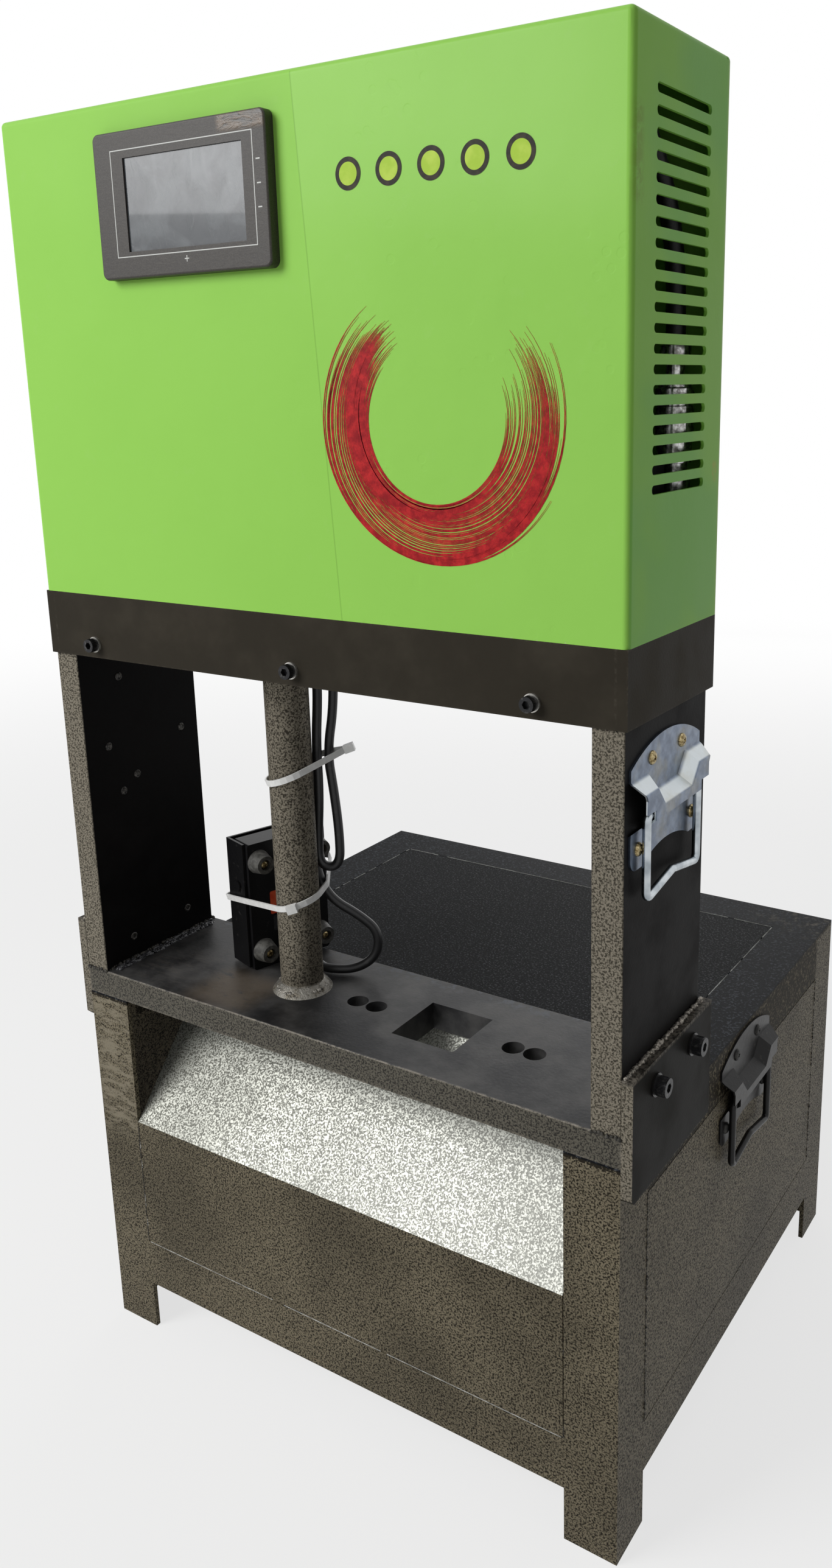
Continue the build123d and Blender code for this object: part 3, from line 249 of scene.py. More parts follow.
def makeObject(name, data):
    piece = bpy.data.objects.new(name, data)
    scene.collection.objects.link(piece)
    return piece


def evaluatedMesh(piece):
    return bpy.data.meshes.new_from_object(piece.evaluated_get(bpy.context.evaluated_depsgraph_get()))


def meshOf(name, shape):  # closes a bmesh into a plain mesh
    mesh = bpy.data.meshes.new(name)
    shape.to_mesh(mesh)
    shape.free()
    return mesh


def addPiece(name, mesh):
    piece = makeObject(name, mesh)
    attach(piece, "machine")
    return piece


def addShape(name, shape, material):
    mesh = meshOf(name, shape)
    mesh.materials.append(material)
    addPiece(name, mesh)


def tube(name, points, radius, roundness):  # a smooth round line led by its points
    curve = bpy.data.curves.new(name, "CURVE")
    curve.dimensions = "3D"
    spline = curve.splines.new("NURBS")
    spline.points.add(len(points) - 1)
    for point, place in zip(spline.points, points):
        point.co = (*place, 1)
    spline.order_u, spline.use_endpoint_u, spline.resolution_u = 3, True, 12
    curve.bevel_depth, curve.bevel_resolution, curve.use_fill_caps = radius, roundness, True
    return makeObject(name, curve)


# cable
cableSettings = {
    "thickness": 0.0075,
    "roundness": 5,
    "length": 0.6925,
    "front": planes["baseFront"],
    "route": [  # millimetres: across, back from the front, up
        (-46.1, 93.1, 596), (-46.1, 93.1, 570), (-51, 87.7, 530), (-46.5, 88.1, 500), (-43.5, 88.9, 464),
        (-44, 88.5, 436), (-60, 82, 436), (-60, 82.5, 462), (-54.3, 79.8, 500), (-56.5, 81.4, 538),
        (-54.2, 83.4, 575), (-54.2, 83.4, 599), (-72.4, 86.2, 599), (-72.4, 86.2, 570), (-68.6, 83.8, 530),
        (-66.1, 83.6, 495), (-67.8, 84.4, 460), (-67.1, 87.1, 425), (-57.3, 92.1, 404), (-38.9, 102.4, 391),
        (-25.3, 110.8, 376), (-27, 109.8, 354.5), (-41.4, 100.8, 343), (-58.9, 91, 342.5), (-70, 88, 344),
        (-82, 90.7, 354), (-98.1, 95.9, 354),
    ],
}


def makeCable(settings):
    points = [(x / 1000, settings["front"] + back / 1000, z / 1000) for x, back, z in settings["route"]]
    cable = tube("footSwitchCable", points, settings["thickness"] / 2, settings["roundness"])
    sheath = toned("cableSheath", (38, 38, 39), (62, 61, 60), (0.006, 4), (0.62, 0.75), (0.0009, 2, 0.00006),
                   0.42, specular=0.4)
    cable.data.materials.append(sheath.material)
    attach(cable, "machine")
    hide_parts("foot_switch_cable")


makeCable(cableSettings)
print("cable routed")

# finishes of the CAD pieces
paintSettings = {
    "hammerDark": (42, 38, 31),
    "hammerLight": (132, 123, 103),
    "hammerGrain": 0.0014,
    "black": (22, 21, 21),
    "bracketBlack": (32, 31, 29),
    "beamBlack": (54, 50, 43),
    "postTones": ((60, 56, 49), (136, 129, 115)),
    # the chute is the panels' hammertone paint, given paler tones as painted light on its sloped, lit face
    "chuteLitTones": ((98, 98, 91), (184, 185, 176)),
    "worn": (116, 110, 100),
    "postWeld": 0.3455,  # the bare ring at the stay's foot ends here
}

# places with marks of their own: low corner, high corner, softness
markSettings = {
    "legScuff": ((-0.250, None, 0.190), (-0.203, None, 0.320), 0.012),
    "bedPatch": ((-0.140, -0.216, 0.337), (-0.082, -0.162, 0.339), 0.012),
    "bedBruise": ((-0.215, -0.216, 0.337), (-0.150, -0.150, 0.339), 0.020),
    "hoodScuff": ((0.249, -0.101, 0.744), (0.252, -0.094, 0.757), 0.0015),
    "hoodStain": ((0.249, -0.219, 0.900), (0.252, -0.209, 0.948), 0.004),
    "panelFilm": ((-0.034, None, 0.9625), (0.0045, None, 0.9725), 0.002),
}


def islands(finish):  # pale islands of hammered enamel, with dark, worm-like veins between them
    return finish.noise(paintSettings["hammerGrain"], 2, 0.45, 0.5).fade(0.38, 0.58)


def hammertone(name, dark, light, metal=0.12, bare=0.0):
    finish = Finish(name, metal=metal, specular=0.04)
    raised = islands(finish)
    broad = finish.noise(0.11, 3).fade(0.35, 0.7)
    finish.ground(raised, dark, light)
    finish.lay(broad * 0.4, dark, 0.85)
    if bare:
        chips = finish.noise(0.005, 5, 0.7).fade(0.66, 0.72) * bare
        finish.lay(chips, paintSettings["worn"])
    finish.set(rough=0.36 + 0.16 * (1 - raised), normal=finish.bump(raised, 0.00018, 0.5))
    return finish


def plateBlack(name, box, colour, wear, speckledFront=False, roughTop=False):
    # brushed-on black enamel over hot-rolled plate, rubbed through along its edges
    finish = Finish(name, specular=0.03)
    edge = finish.edges(box, 0.0015) * finish.noise(0.004, 6, 0.75).fade(0.44, 0.70) * wear
    streak = finish.noise(0.004, 4, 0.6, 0, (1, 1, 7)).fade(0.64, 0.80) * 0.3
    grime = finish.noise(0.05, 4, 0.6).fade(0.4, 0.75)
    finish.ground(grime * 0.5, colour, colour, 1.8)
    finish.lay(streak, (62, 61, 59))
    if speckledFront:
        speckled = finish.mix(islands(finish), (70, 66, 58), (142, 135, 121))
        finish.lay(finish.front(box[0].y), speckled)
    if roughTop:
        top = finish.z.fade(box[1].z - 0.0035, box[1].z - 0.001)
        scraped = finish.noise(0.003, 5, 0.7).fade(0.40, 0.62)
        finish.lay(top, finish.mix(scraped, (52, 49, 45), (128, 122, 112)))
    finish.lay(edge, paintSettings["worn"])
    finish.set(rough=0.42 + 0.16 * grime, metal=edge * 0.5)
    finish.set(normal=finish.bump(finish.noise(0.0018, 3) + finish.noise(0.02, 2) * 2, 0.00008))
    return finish


def finishFrame(settings, marks):
    dark, light = settings["hammerDark"], settings["hammerLight"]
    frameNodes = [f"leg_{end}_{side}" for end in ("front", "rear") for side in ("left", "right")]
    frameNodes += [f"bottom_rail_{place}" for place in ("front", "rear", "left", "right")]
    legs = hammertone("hammerLegs", dark, light, bare=0.5)
    front = legs.front(planes["baseFront"])
    scuff = legs.region(*marks["legScuff"]) * front  # ground back below the left corner
    scuff = scuff * legs.noise(0.008, 6, 0.72, 0.3, (0.5, 1, 1.7)).fade(0.44, 0.60)
    rub = front * (1 - legs.z.fade(0.07, 0.09)) * legs.noise(0.010, 5, 0.7, 0, (0.25, 1, 1.5)).fade(0.62, 0.74)
    legs.lay(rub * 0.6, (134, 120, 98))
    legs.lay(scuff * 0.85, (142, 134, 116))
    dress(legs, *frameNodes)
    panels = ("side_panel_left", "side_panel_right", "rear_panel", "front_panel")
    dress(hammertone("hammerPanels", dark, light), *panels)


def finishChute(settings):
    # paler tones here are painted light: the same paint as the panels, lit from above
    chute = hammertone("hammerChute", *settings["chuteLitTones"], metal=0.45)
    sheen = (chute.x + (0.30 - chute.z) * 1.5).fade(-0.15, 0.30)  # painted highlight, paler towards the lower right
    scratch = chute.noise(0.0016, 3, 0.6, 0, (0.12, 1, 1)).fade(0.68, 0.74) * chute.noise(0.06, 3).fade(0.5, 0.7)
    # painted highlight laid over the chute's colour
    chute.lay(sheen * 0.35, (206, 207, 200))
    chute.lay(scratch * 0.5, (214, 214, 208))
    dress(chute, "chute_plate")


def finishPost(settings):
    post = hammertone("hammerPost", *settings["postTones"])
    ring = 1 - post.z.fade(settings["postWeld"] - 0.001, settings["postWeld"] + 0.001)
    patchy = ring * post.noise(0.006, 4, 0.6).fade(0.30, 0.55)
    under = post.current("normal")
    post.lay(patchy, (132, 129, 122))
    post.set(metal=0.2 + patchy * 0.4, normal=post.bump(post.noise(0.003, 4, 0.7) * ring, 0.0009, 1.0, under))
    dress(post, "post_tube")


def finishTop(settings):
    # coarse textured black with pale specks
    finish = Finish("texturedBlack", specular=0.04)
    grain = finish.noise(0.0017, 3, 0.62)
    specks = grain.fade(0.52, 0.70)
    finish.ground(specks, (16, 17, 18), (72, 74, 78))
    finish.set(normal=finish.bump(grain, 0.0004, 0.8), rough=0.60 - specks * 0.2)
    dress(finish, "top_panel")
    rail = Finish("texturedRails", specular=0.04, rough=0.52)
    grain = rail.noise(0.0022, 3, 0.62)
    upward = rail.z.fade(planes["base"] - 0.0025, planes["base"] - 0.0010)
    specks = grain.fade(0.52, 0.66)
    upper = rail.mix(specks, (19, 20, 22), (66, 69, 75))
    lower = rail.mix(specks, settings["hammerDark"], settings["hammerLight"])
    corner = rail.near(rail.y, 0.21, 0.05) * rail.x.fade(0.15, 0.24)  # worn at the rear right corner
    rub = corner * rail.noise(0.008, 5, 0.7).fade(0.52, 0.66) * 0.7
    rail.ground(upward, lower, upper)
    rail.lay(rub, settings["worn"])
    rail.set(normal=rail.bump(grain, 0.0003, 0.7))
    dress(rail, "top_rail_left", "top_rail_right", "top_rail_rear")


def finishBed(marks):
    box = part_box("bed_plate")
    finish = Finish("bedSteel", specular=0.18)
    edge = finish.edges(box, 0.0022) * finish.noise(0.007, 5, 0.7).fade(0.42, 0.62)
    grime = finish.noise(0.045, 5, 0.6).fade(0.35, 0.72)
    streak = finish.noise(0.005, 4, 0.6, 0, (0.6, 6, 1)).fade(0.62, 0.76) * 0.3
    finish.ground(grime, (40, 40, 41), (88, 87, 86))
    finish.lay(streak, (96, 93, 88))
    patch = finish.region(*marks["bedPatch"])  # rubbed brown left of the stay
    patch = patch * finish.noise(0.016, 5, 0.7, 0, (1, 2.2, 1)).fade(0.30, 0.46)
    finish.lay(patch * 0.9, (150, 130, 104))
    bruise = finish.region(*marks["bedBruise"])
    bruise = bruise * finish.noise(0.010, 5, 0.7, 0, (0.5, 2.5, 1)).fade(0.46, 0.64)
    finish.lay(bruise * 0.5, (128, 120, 110))
    rearWear = finish.near(finish.y, box[1].y, 0.02) * finish.noise(0.008, 5, 0.7).fade(0.5, 0.62)
    finish.lay(rearWear * 0.5, (84, 90, 100))
    speckled = finish.mix(islands(finish), (40, 38, 34), (98, 94, 84))
    finish.lay(finish.front(box[0].y), speckled)
    finish.lay(edge * 0.55, (136, 129, 118))
    finish.set(metal=0.25, rough=0.36 + grime * 0.16, normal=finish.bump(finish.noise(0.0025, 4, 0.6), 0.00012))
    dress(finish, "bed_plate")


def finishPlates(settings):
    rows = [(f"bracket_{side}", settings["bracketBlack"], 0.6, True, True) for side in ("left", "right")]
    rows += [(f"upright_{side}", settings["black"], 0.5, True, False) for side in ("left", "right")]
    rows += [(f"beam_{part}", settings["beamBlack"], 0.2, False, False)
             for part in ("front", "rear", "end_left", "end_right")]
    for name, colour, wear, speckledFront, roughTop in rows:
        dress(plateBlack("plate_" + name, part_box(name), colour, wear, speckledFront, roughTop), name)
    dress(plateBlack("headPlate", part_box("head_plate"), settings["black"], 0.3), "head_plate", "port_block")


# green hood: the clear film on its front ends at a line that leans a little
hoodSettings = {
    "green": (160, 222, 98),
    "greenDeep": (150, 214, 88),
    "filmEdge": 0.0205,
    "filmLean": 0.064,
}


def finishHousing(settings, marks):
    finish = Finish("greenPaint", specular=0.09, coatRough=0.14)
    tone = finish.noise(0.16, 3).fade(0.35, 0.7)
    dust = finish.noise(0.012, 5, 0.65).fade(0.60, 0.74)
    finish.ground(tone * 0.3, settings["green"], settings["greenDeep"])
    finish.lay(dust * 0.10, (176, 224, 130))
    chip = finish.edges(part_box("housing"), 0.0022) * finish.noise(0.004, 5, 0.75).fade(0.62, 0.68)
    finish.lay(chip * 0.7, (196, 205, 168))
    specks = finish.noise(0.02, 4, 0.8).fade(0.70, 0.74) * (1 - finish.z.fade(0.68, 0.80))
    finish.lay(specks * 0.4, (120, 128, 66))  # grime near the band
    filmEdge = settings["filmEdge"] + (planes["hoodTop"] - finish.z) * settings["filmLean"]
    front = finish.front(planes["hoodFront"])
    covered = front * (finish.x - filmEdge).fade(-0.0002, 0.0002)
    film = 1 - finish.x.distance(filmEdge).fade(0.0002, 0.0007)
    finish.lay(film * front * 0.4, (116, 170, 66))
    scuff = finish.region(*marks["hoodScuff"]) * finish.noise(0.003, 5, 0.7).fade(0.35, 0.6)
    finish.lay(scuff * 0.8, (196, 206, 96))
    stain = finish.region(*marks["hoodStain"]) * finish.noise(0.006, 4, 0.7).fade(0.35, 0.6)
    finish.lay(stain * 0.6, (128, 132, 40))
    side = finish.x.fade(planes["hoodSide"] - 0.0010, planes["hoodSide"] - 0.0004)
    finish.lay(side * finish.noise(0.09, 2).fade(0.40, 0.62) * 0.35, (120, 196, 120))
    finish.set(rough=0.36 + tone * 0.08, coat=covered * 0.08)
    blister = finish.cells(0.011).fade(0.22, 0.30) * covered * finish.noise(0.05, 3).fade(0.50, 0.62)
    ripple = finish.bump(finish.noise(0.035, 3, 0.5), 0.0009, 0.5)
    ripple = finish.bump(blister, 0.00012, 0.6, ripple)
    finish.set(normal=finish.bump(finish.noise(0.0018, 2), 0.00003, 1.0, ripple))
    dress(finish, "housing")


# operator panel: a thin printed frame, three ticks beside the window and a cross below it
panelSettings = {
    "frame": (-0.1311, 0.8937, -0.0051, 0.9613),
    "line": 0.0006,
    "tick": (-0.0030, 0.0002, 0.0004),
    "tickHeights": (0.9440, 0.9300, 0.9160),
    "cross": (-0.0670, 0.8897),
    "crossArm": (0.0020, 0.0003),
    "blur": 0.00008,
}


def finishPanel(settings, marks):
    panel = Finish("panelMoulding", specular=0.35)
    grain = panel.noise(0.0007, 2)
    face = panel.front(planes["panelFront"])

    def printed(left, low, right, high):
        return panel.region((left, None, low), (right, None, high), settings["blur"])

    left, low, right, high = settings["frame"]
    width = settings["line"]
    line = printed(left, low, right, high) * (1 - printed(left + width, low + width, right - width, high - width))
    left, right, half = settings["tick"]
    for height in settings["tickHeights"]:
        line = line.greater(printed(left, height - half, right, height + half))
    x, z = settings["cross"]
    arm, half = settings["crossArm"]
    line = line.greater(printed(x - arm, z - half, x + arm, z + half))
    line = line.greater(printed(x - half, z - arm, x + half, z + arm))
    film = panel.region(*marks["panelFilm"]) * face
    creases = panel.noise(0.006, 4, 0.6, 1.2, (0.5, 1, 1.4))
    panel.ground(grain.fade(0.4, 0.65), (50, 46, 43), (64, 60, 55))
    panel.lay(film * creases.fade(0.35, 0.6) * 0.6, (122, 100, 76))  # lifting protective film
    panel.lay(line * face, (214, 216, 212))
    panel.set(rough=0.44 - film * 0.2)
    panel.set(normal=panel.bump(creases * face * (0.25 + film), 0.0006, 0.5, panel.bump(grain, 0.00004)))
    dress(panel, "operator_panel")
    glass = Finish("displayWindow", specular=0.4, coat=0.3)
    haze = glass.noise(0.03, 4, 0.55, 0.8)
    smear = glass.noise(0.012, 4, 0.6, 1.5, (1, 1, 0.5))
    glass.ground(haze.fade(0.4, 0.66), (54, 59, 64), (84, 89, 93))
    glass.lay(smear.fade(0.60, 0.72) * 0.5, (112, 116, 118))
    glass.set(rough=0.16 + smear * 0.2, normal=glass.bump(smear, 0.00008))
    dress(glass, "screen")


def finishHandles():
    for side, wall in (("left", -1), ("right", 1)):
        zinc = Finish("zincPlate" + side.capitalize(), metal=1.0)
        spangle = zinc.noise(0.008, 3, 0.6)
        stain = zinc.noise(0.02, 4, 0.6).fade(0.45, 0.7)
        # bluish zinc, darkened on the flat faces as a painted reflection of dark surroundings
        zinc.ground(spangle.fade(0.30, 0.75), (92, 102, 118), (122, 133, 150))
        outward = zinc.x * wall
        raised = outward.fade(0.2492, 0.2512) * (1 - outward.fade(0.2570, 0.2581))
        zinc.lay(raised * 0.85, (204, 210, 212))  # painted reflection: the bent ramps made pale, as if mirroring bright sky
        zinc.lay(stain * 0.25, (160, 150, 112))
        zinc.set(rough=0.24 + zinc.noise(0.006, 3) * 0.12, normal=zinc.bump(zinc.noise(0.003, 3), 0.00001))
        dress(zinc, "handle_plate_upper_" + side)
    bright = toned("zincWire", (150, 158, 164), (196, 202, 206), (0.012, 2), (0.30, 0.7), None, 0.20, 0.08, metal=1.0)
    dress(bright, "handle_bail_upper_left", "handle_bail_upper_right", "cover_screws")
    washer = Finish("washerPlating", metal=0.8, rough=0.3)
    outer = washer.x.distance(0).fade(0.2504, 0.2508)  # those on the brackets are black
    washer.ground(washer.noise(0.004, 3).fade(0.35, 0.7), (168, 166, 160), (212, 210, 204))
    washer.lay(outer, (46, 45, 44))
    washer.set(normal=washer.bump(washer.noise(0.001, 2), 0.00002))
    dress(washer, "washers")
    black = Finish("blackHardware", specular=0.22)
    drips = black.noise(0.005, 4, 0.6)
    black.ground(drips.fade(0.6, 0.75), (24, 23, 23), (78, 76, 72))
    black.set(rough=0.24 + drips * 0.2, normal=black.bump(drips, 0.0003, 0.7))
    dress(black, *(f"handle_{kind}_lower_{side}" for kind in ("plate", "bail") for side in ("left", "right")))


def finishSmall():
    dress(toned("rearCoverGreen", (150, 206, 92), (160, 214, 102), (0.03, 4), (0.4, 0.7), (0.0018, 2, 0.00004),
                0.45, specular=0.4), "rear_cover")
    dress(toned("tankPaint", (50, 55, 58), (70, 76, 80), (0.02, 4), (0.4, 0.7), (0.002, 3, 0.00005), 0.4),
          "oil_tank", "pump_motor", "cylinder_barrel", "cylinder_cap")
    dress(toned("blackOxide", (36, 36, 38), (78, 77, 76), (0.003, 4), (0.5, 0.7), (0.001, 2, 0.00003), 0.36,
                metal=0.6), "cap_screws")
    dress(toned("yellowZinc", (196, 168, 104), (222, 200, 150), (0.003, 3), (0.4, 0.7), None, 0.3, 0.1, metal=1.0),
          "handle_screws", "feet_screws")
    dress(toned("groundSteel", (186, 186, 188), (226, 226, 228), (0.0012, 3, 0.6, 0, (0.2, 0.2, 3)), (0.4, 0.65),
                None, 0.2, 0.1, metal=1.0), "ram", "quick_coupler", "tool_holder")
    dress(toned("hoseCover", (24, 24, 25), (44, 44, 45), (0.004, 3), (0.5, 0.7), (0.001, 2, 0.00008), 0.5),
          "pressure_hose")
    dress(toned("switchEnamel", (16, 16, 17), (48, 47, 46), (0.006, 5, 0.7), (0.6, 0.72), (0.006, 5, 0.7, 0.00006),
                0.34, specular=0.2), "foot_switch", "foot_pedal")
    dress(toned("footRubber", (62, 61, 58), (92, 91, 87), (0.004, 4, 0.6), (0.4, 0.65), (0.004, 4, 0.6, 0.0001),
                0.6, specular=0.3), "rubber_feet")
    dress(toned("naturalNylon", (242, 242, 240), (252, 252, 250), (0.004, 3), (0.4, 0.7), (0.0008, 2, 0.00003),
                0.38, specular=0.4), "cable_ties")
    dress(toned("glandMoulding", (30, 30, 30), (44, 43, 42), (0.0007, 2), (0.4, 0.65), (0.0007, 2, 0.00005),
                0.45, specular=0.35), "cable_gland")


finishFrame(paintSettings, markSettings)
finishChute(paintSettings)
finishPost(paintSettings)
finishTop(paintSettings)
finishBed(markSettings)
finishPlates(paintSettings)
finishHousing(hoodSettings, markSettings)
finishPanel(panelSettings, markSettings)
finishHandles()
finishSmall()
print("finishes made")


# repeated pieces, grown by node trees
def meshFrom(name, vertices, faces=(), edges=()):
    mesh = bpy.data.meshes.new(name)
    mesh.from_pydata([tuple(v) for v in vertices], list(edges), list(faces))
    return mesh


def growTree(name, inputs):
    group = bpy.data.node_groups.new(name, "GeometryNodeTree")
    group.interface.new_socket("Geometry", in_out="INPUT", socket_type="NodeSocketGeometry")
    for label, kind in inputs.items():
        group.interface.new_socket(label, in_out="INPUT", socket_type="NodeSocket" + kind)
    group.interface.new_socket("Geometry", in_out="OUTPUT", socket_type="NodeSocketGeometry")
    tree = Tree(group)
    start = group.nodes.new("NodeGroupInput")
    given = {socket.name: Wire(tree, socket) for socket in start.outputs}
    return group, tree, given


def endTree(group, tree, geometry, given):
    real = tree.add("GeometryNodeRealizeInstances", {"Geometry": geometry})
    painted = tree.add("GeometryNodeSetMaterial", {"Geometry": real, "Material": given["Material"]})
    tree.add("NodeGroupOutput", {"Geometry": painted})
    return group


def scatterTree():
    # a prototype on each point, turned by the point's own stored rotation and spun by random amounts
    inputs = {"Prototype": "Object", "Spin": "Float", "Seed": "Int", "Material": "Material"}
    group, tree, given = growTree("scatterOnPoints", inputs)
    shape = tree.add("GeometryNodeObjectInfo", {"Object": given["Prototype"]}, "Geometry")
    turn = tree.add("GeometryNodeInputNamedAttribute", {"Name": "turn"}, data_type="FLOAT_VECTOR")
    points = tree.add("GeometryNodeMeshToPoints", {"Mesh": given["Geometry"]})
    placed = tree.add("GeometryNodeInstanceOnPoints", {"Points": points, "Instance": shape, "Rotation": turn})
    values = {2: given["Spin"] * -1, 3: given["Spin"], "Seed": given["Seed"]}
    chance = tree.add("FunctionNodeRandomValue", values, 1, data_type="FLOAT")
    spin = tree.add("ShaderNodeCombineXYZ", {"Z": chance})
    spun = tree.add("GeometryNodeRotateInstances", {"Instances": placed, "Rotation": spin, "Local Space": True})
    return endTree(group, tree, spun, given)


def beadTree():
    # uneven drops of weld metal along a line
    inputs = {"Radius": "Float", "Step": "Float", "Wander": "Float", "Seed": "Int", "Material": "Material"}
    group, tree, given = growTree("weldAlongLine", inputs)

    def randomVector(low, high):
        values = {0: low, 1: high, "Seed": given["Seed"]}
        return tree.add("FunctionNodeRandomValue", values, data_type="FLOAT_VECTOR")

    line = tree.add("GeometryNodeMeshToCurve", {"Mesh": given["Geometry"]})
    even = tree.add("GeometryNodeResampleCurve", {"Curve": line, "Length": given["Step"]}, mode="LENGTH")
    points = tree.add("GeometryNodeCurveToPoints", {"Curve": even}, mode="EVALUATED")
    wander = tree.add("ShaderNodeCombineXYZ", {axis: given["Wander"] for axis in range(3)})
    back = tree.add("ShaderNodeVectorMath", {0: wander, "Scale": -1.0}, operation="SCALE")
    moved = tree.add("GeometryNodeSetPosition", {"Geometry": points, "Offset": randomVector(back, wander)})
    drop = tree.add("GeometryNodeMeshIcoSphere", {"Radius": given["Radius"], "Subdivisions": 2})
    size, turn = randomVector((0.55, 0.55, 0.5), (1.35, 1.35, 1.1)), randomVector((0, 0, 0), (3, 3, 3))
    values = {"Points": moved, "Instance": drop, "Rotation": turn, "Scale": size}
    placed = tree.add("GeometryNodeInstanceOnPoints", values)
    return endTree(group, tree, tree.add("GeometryNodeSetShadeSmooth", {"Geometry": placed}), given)


def grow(name, base, group, values):
    carrier = makeObject(name + "Base", base)
    modifier = carrier.modifiers.new("grow", "NODES")
    modifier.node_group = group
    for item in group.interface.items_tree:
        if item.in_out == "INPUT" and item.name in values:
            modifier[item.identifier] = values[item.name]
    mesh = evaluatedMesh(carrier)
    mesh.name = name
    carrier.modifiers.clear()
    bpy.data.objects.remove(carrier)
    return addPiece(name, mesh)


scatter, bead = scatterTree(), beadTree()


def scatterPieces(name, shape, places, spin, seed, material):
    # places: (position, direction that the prototype's +Z takes)
    base = meshFrom(name, [place for place, out in places])
    turns = base.attributes.new("turn", "FLOAT_VECTOR", "POINT")
    for index, (place, out) in enumerate(places):
        turns.data[index].vector = Vector(out).to_track_quat("Z", "Y").to_euler()
    prototype = makeObject(name + "Prototype", shape)
    values = {"Prototype": prototype, "Spin": spin, "Seed": seed, "Material": material}
    piece = grow(name, base, scatter, values)
    bpy.data.objects.remove(prototype)
    return piece


def lathe(name, profile, steps):
    # a turned piece round the z axis, its profile given as radius and height
    shape = bmesh.new()
    line = [shape.verts.new((radius, 0, height)) for radius, height in profile]
    edges = [shape.edges.new(pair) for pair in zip(line, line[1:])]
    bmesh.ops.spin(shape, geom=line + edges, cent=(0, 0, 0), axis=(0, 0, 1), angle=2 * pi, steps=steps)
    bmesh.ops.remove_doubles(shape, verts=list(shape.verts), dist=1e-6)
    bmesh.ops.recalc_face_normals(shape, faces=list(shape.faces))
    return meshOf(name, shape)


def panHead(name, radius, height):
    # a domed head with a cross recess: the recess's width, reach and depth are shares of the head's size
    dome = ((0, 1), (0.45, 0.96), (0.75, 0.78), (0.93, 0.45), (1, 0.12), (1, 0), (0, 0))
    head = lathe(name, [(radius * out, height * up) for out, up in dome], 20)
    recess = bmesh.new()
    for turn in (0, pi / 2):
        arm = bmesh.ops.create_cube(recess, size=1)["verts"]
        bmesh.ops.scale(recess, vec=(radius * 1.24, radius * 0.26, height * 1.4), verts=arm)
        for vertex in arm:
            if vertex.co.z < 0:
                vertex.co.x *= 0.35
            vertex.co = Matrix.Rotation(turn, 3, "Z") @ vertex.co + Vector((0, 0, height))
    body, tool = makeObject(name, head), makeObject(name + "Cut", meshOf(name + "Cut", recess))
    cut = body.modifiers.new("recess", "BOOLEAN")
    cut.operation, cut.object, cut.solver, cut.use_self = "DIFFERENCE", tool, "EXACT", True
    result = evaluatedMesh(body)
    bpy.data.objects.remove(body)
    bpy.data.objects.remove(tool)
    return result


# screws of the handles and of the foot switch's feet, in metres, and where the switch stands
screwSettings = {
    "handleHead": (0.0046, 0.0023),
    "footHead": (0.0038, 0.0024),
    "seat": 0.2490,
    "handles": {"upper": (-0.1605, 0.5505), "lower": (0.0055, 0.2660)},
    "offsets": ((-0.0225, 0.0325), (0.0225, 0.0325), (-0.041, -0.021), (0.041, -0.021)),
    "feet": ((12, 16), (12, 94), (66, 16), (66, 94)),
    "footTop": 8.1,
    "spin": (0.7, 0.8),
    "seed": 4,
}
switchSettings = {"corner": (-0.1200, -0.1575, planes["bed"]), "turn": radians(72)}
switchAlong = Vector((cos(switchSettings["turn"]), sin(switchSettings["turn"]), 0))
switchOut = Vector((sin(switchSettings["turn"]), -cos(switchSettings["turn"]), 0))


def onSwitch(along, out, up):
    # millimetres on the foot switch: along its width, out of its base plate, up
    corner = Vector(switchSettings["corner"])
    return corner + switchAlong * (along / 1000) + switchOut * (out / 1000) + Vector((0, 0, up / 1000))


def makeScrews(settings):
    brass = plainFinish("yellowScrews", (112, 96, 62), (190, 174, 134), 0.0018, 0.9, 0.26, 0.00004)
    black = plainFinish("paintedScrews", (30, 30, 30), (70, 69, 66), 0.003, 0.2, 0.4, 0.0001)
    spin, footSpin = settings["spin"]
    seed = settings["seed"]
    for label, material in (("upper", brass), ("lower", black)):
        back, rise = settings["handles"][label]
        places = [((side * settings["seat"], back + along, rise + up), (side, 0, 0))
                  for side in (-1, 1) for along, up in settings["offsets"]]
        name = label + "HandleScrews"
        head = panHead(name + "Head", *settings["handleHead"])
        scatterPieces(name, head, places, spin, seed, material)
    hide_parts("handle_screws")
    places = [(onSwitch(along, settings["footTop"], up), switchOut) for along, up in settings["feet"]]
    head = panHead("footScrewHead", *settings["footHead"])
    feet = scatterPieces("footScrews", head, places, footSpin, seed + 3, brass)
    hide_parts("feet_screws")


makeScrews(screwSettings)
print("screws made")

# knurled rims of the cap screws
knurlSettings = {
    "bracket": {"radius": 0.0065, "low": 0.0009, "high": 0.0066, "ridges": 44},
    "beam": {"radius": 0.0050, "low": 0.0008, "high": 0.0050, "ridges": 36},
    "proud": 0.00022,
    "sunk": 0.0001,
    "spin": 0.2,
    "seed": 2,
    "bracketSeats": [((side * 0.2570, along, 0.362), (side, 0, 0))
                     for side in (-1, 1) for along in (-0.184, -0.124)],
    "beamSeats": [((x, -0.2220, 0.6185), (0, -1, 0)) for x in (-0.1995, -0.0045, 0.186)],
}


